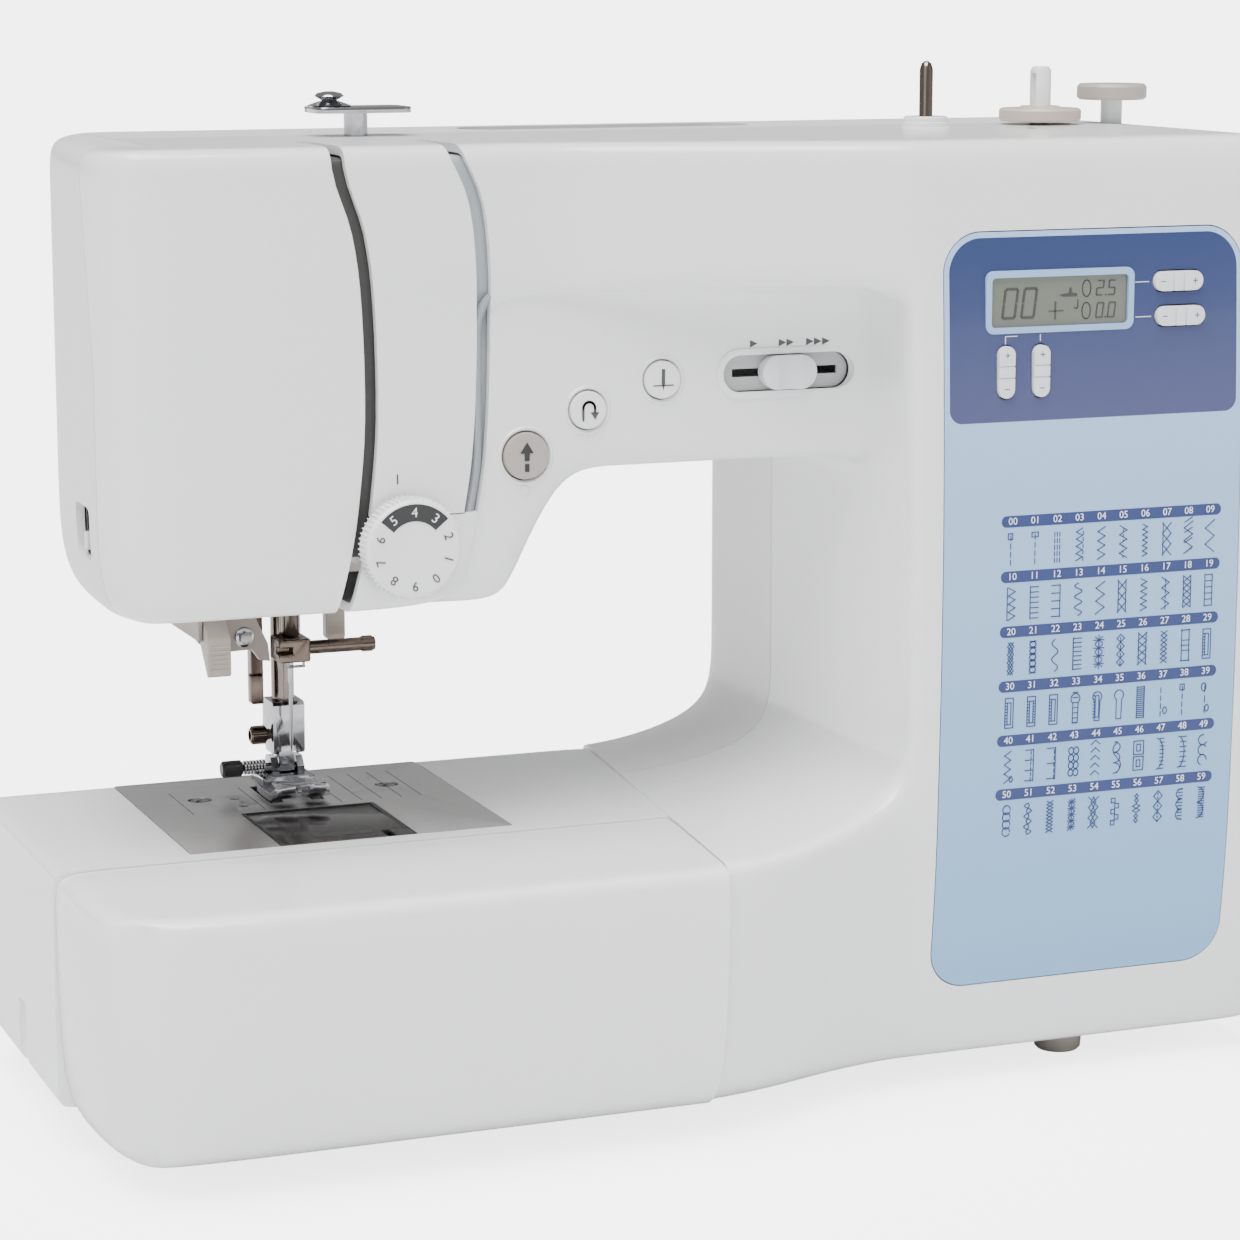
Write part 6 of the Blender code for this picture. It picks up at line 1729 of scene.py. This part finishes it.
# %% Handwheel
wheel = span("handwheel")
centre = (middle(wheel[1]), middle(wheel[2]))
w0, w1 = wheel[0]
rim_r = (wheel[1][1] - wheel[1][0]) / 2 - 0.2
profile = [(0, w0 + 9.0), (6.4, w0 + 9.0), (6.4, w0), (10.0, w0), (12.0, w0 + 4.0),
           (rim_r - 4.0, w0 + 6.5), (rim_r - 1.6, w0 + 7.6), (rim_r - 0.9, w0 + 9.5),
           (rim_r - 0.9, w1 - 4.5), (rim_r - 2.4, w1 - 1.6), (rim_r - 6.0, w1),
           (rim_r - 9.5, w1 - 0.6), (rim_r - 12.0, w1 - 2.4), (8.0, w1 - 3.0), (0, w1 - 3.2)]
piece("handwheel_dish", "main_shaft", DARKER_WHITE, turned("x", centre, profile, 96), nodes=["handwheel"])
grip = prism(shifted([(-2.2, centre[1] + rim_r - 1.4), (2.2, centre[1] + rim_r - 1.4),
                      (1.4, centre[1] + rim_r), (-1.4, centre[1] + rim_r)], u=centre[0]), "x",
             w0 + 9.6, w1 - 5.0)
ring_piece("handwheel_grips", "main_shaft", DARKER_WHITE, grip, 24, (0.0, *centre), (1.0, 0.0, 0.0),
           edge=0.5)

# %% Power switch and inlet
INLET_Y, INLET_Z = 56.0, 63.0
sx, sy, sz = switch
rocker = prism([(sy[0] + 1.0, sz[0] + 1.0), (sy[1] - 1.0, sz[0] + 1.0), (sy[1] - 1.0, sz[1] - 1.0),
                (sy[0] + 1.0, sz[1] - 1.0)], "x", sx[0] + 1.0, sx[1])
scoop = rod("y", (sx[1] + 26.0, middle(sz)), 27.6, sy[0] - 5, sy[1] + 5, 96)
piece("power_rocker", "power_switch", BLACK, rocker, cut=[scoop], edge=0.5, nodes=["power_switch"])
piece("inlet_body", "root", BLACK, block(*inlet), edge=0.5, nodes=["power_inlet"],
      cut=[prism(rounded(about(INLET_Y, 8.0), about(INLET_Z, 4.5), 3.0), "x", 162.0, FAR)])
for k, y in enumerate(about(INLET_Y, 3.5)):
    piece(f"inlet_pin_{k + 1}", "root", STEEL,
          turned("x", (y, INLET_Z),
                 [(0, 161.0), (1.1, 161.0), (1.1, 170.0), (0.6, 170.8), (0, 170.8)], 24))
print("right end done")

# %% [markdown]
# ## Rear, base and what shows through the gaps
# The cooling louvres are one grey bar set out by the row tree. The inner works keep their plain
# shapes, which is enough for what can be seen of them, and only get their finishes.

# %% Rear details
vent = prism(stadium(PILLAR_X + 55.0, BED_TOP + 40.0, 16.0, 1.2), "y", Y_BACK - 2.0, Y_BACK + 0.35)
row_piece("rear_louvres", "root", GREY, vent, 8, (0.0, 0.0, 5.2))
for k, (x,
        z) in enumerate(((HEAD_X + 50.0, HEAD_UNDER + 30.0), (PILLAR_X + 12.0, ARM_TOP - 20.0),
                         (PILLAR_X + 96.0, FLOOR_Z + 22.0))):
    ring_shape = turned("y", (x, z),
                        shifted([(0, -1.0), (3.9, -1.0), (3.9, 0.2), (3.2, 0.5), (0, 0.3)],
                                v=Y_BACK), 40)
    cross = [block(about(x, a), (Y_BACK - 0.5, Y_BACK + 2), about(z, b)) for a,
             b in ((2.0, 0.4), (0.4, 2.0))]
    piece(f"rear_screw_{k + 1}", "root", STEEL, ring_shape, cut=cross)
foot_box, spot = span("front_foot"), plan_centre("front_foot")
r = (foot_box[0][1] - foot_box[0][0]) / 2
piece("front_foot_pad", "root", RUBBER,
      turned("z", spot,
             [(0, foot_box[2][0]), (r - 1.4, foot_box[2][0]), (r - 0.6, foot_box[2][0] + 0.8),
              (r, foot_box[2][1]), (0, foot_box[2][1])], 48), nodes=["front_foot"])

# %% Finishes for the inner works
BOARD = plastic("board_green", (0.03, 0.14, 0.07), (0.02, 0.10, 0.05), (0.3, 0.45))
INNER = {STEEL: ["upper_shaft", "lower_shaft", "rotary_hook", "take_up_lever", "presser_spring",
                 "winder_carrier"], IRON: ["main_frame", "base_plate", "feed_dog"],
         BLACK: ["timing_belt", "motor_belt", "bobbin_case", "upper_pulley", "feed_switch"],
         CHROME: ["motor", "motor_pulley"], CLEAR: ["bobbin"], BEIGE: ["presser_lever"],
         BOARD: ["circuit_board"]}
for material, names in INNER.items():
    for name in names:
        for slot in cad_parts[name].material_slots:
            slot.material = material
print("inner works finished")

# %% [markdown]
# ## Camera, light and floor
# A long lens from a little above eye height keeps upright edges nearly upright. One wide soft light
# stands front left, a weaker one front right, and one above lifts the top faces from the pale
# ground. The floor glows a little for the camera alone, which keeps it pale without lighting the
# underside of the arm.

# %% Stage
camera = bpy.data.objects.new("camera", bpy.data.cameras.new("camera"))
bpy.context.scene.collection.objects.link(camera)
camera.location = (-0.4128, -0.9899, 0.3337)
camera.rotation_euler = (math.radians(79.684), 0.0, math.radians(-21.55))
camera.data.lens, camera.data.sensor_width = 104.15, 36
bpy.context.scene.camera = camera

for name, kind, spot, energy, size in (("sky", "SUN", (-0.5, -0.55, 2.4), 6.8, 0.9),
                                       ("key", "AREA", (-1.1, -1.1, 1.0), 4.0, 1.2),
                                       ("fill", "AREA", (1.1, -1.0, 0.6), 1.0, 1.2)):
    light = bpy.data.lights.new(name, kind)
    light.energy = energy
    if kind == "SUN":
        light.angle = size
    else:
        light.size = size
    holder = bpy.data.objects.new(name, light)
    bpy.context.scene.collection.objects.link(holder)
    holder.location = spot
    holder.rotation_euler = (Vector((0, 0, 0.15)) - Vector(spot)).to_track_quat("-Z",
        "Y").to_euler()

world = bpy.data.worlds.new("studio")
bpy.context.scene.world = world
world.use_nodes = True
world.node_tree.nodes["Background"].inputs["Color"].default_value = (1.0, 1.0, 1.0, 1.0)
world.node_tree.nodes["Background"].inputs["Strength"].default_value = 0.4
GROUND = plastic("pale_ground", (0.90, 0.905, 0.91), (0.88, 0.885, 0.89), (0.6, 0.7))
ground_shader = GROUND.node_tree.nodes["Principled BSDF"]
ground_shader.inputs["Emission Color"].default_value = (1.0, 1.0, 1.0, 1.0)
seen = GROUND.node_tree.nodes.new("ShaderNodeLightPath")
glow = maths(GROUND.node_tree, "MULTIPLY", seen.outputs["Is Camera Ray"], 3.2)
GROUND.node_tree.links.new(glow, ground_shader.inputs["Emission Strength"])
floor = raw_object("floor", block((-60000, 60000), (-60000, 60000), (-12, -0.05)))
floor.data.transform(Matrix.Scale(MM, 4))
floor.data.materials.append(GROUND)
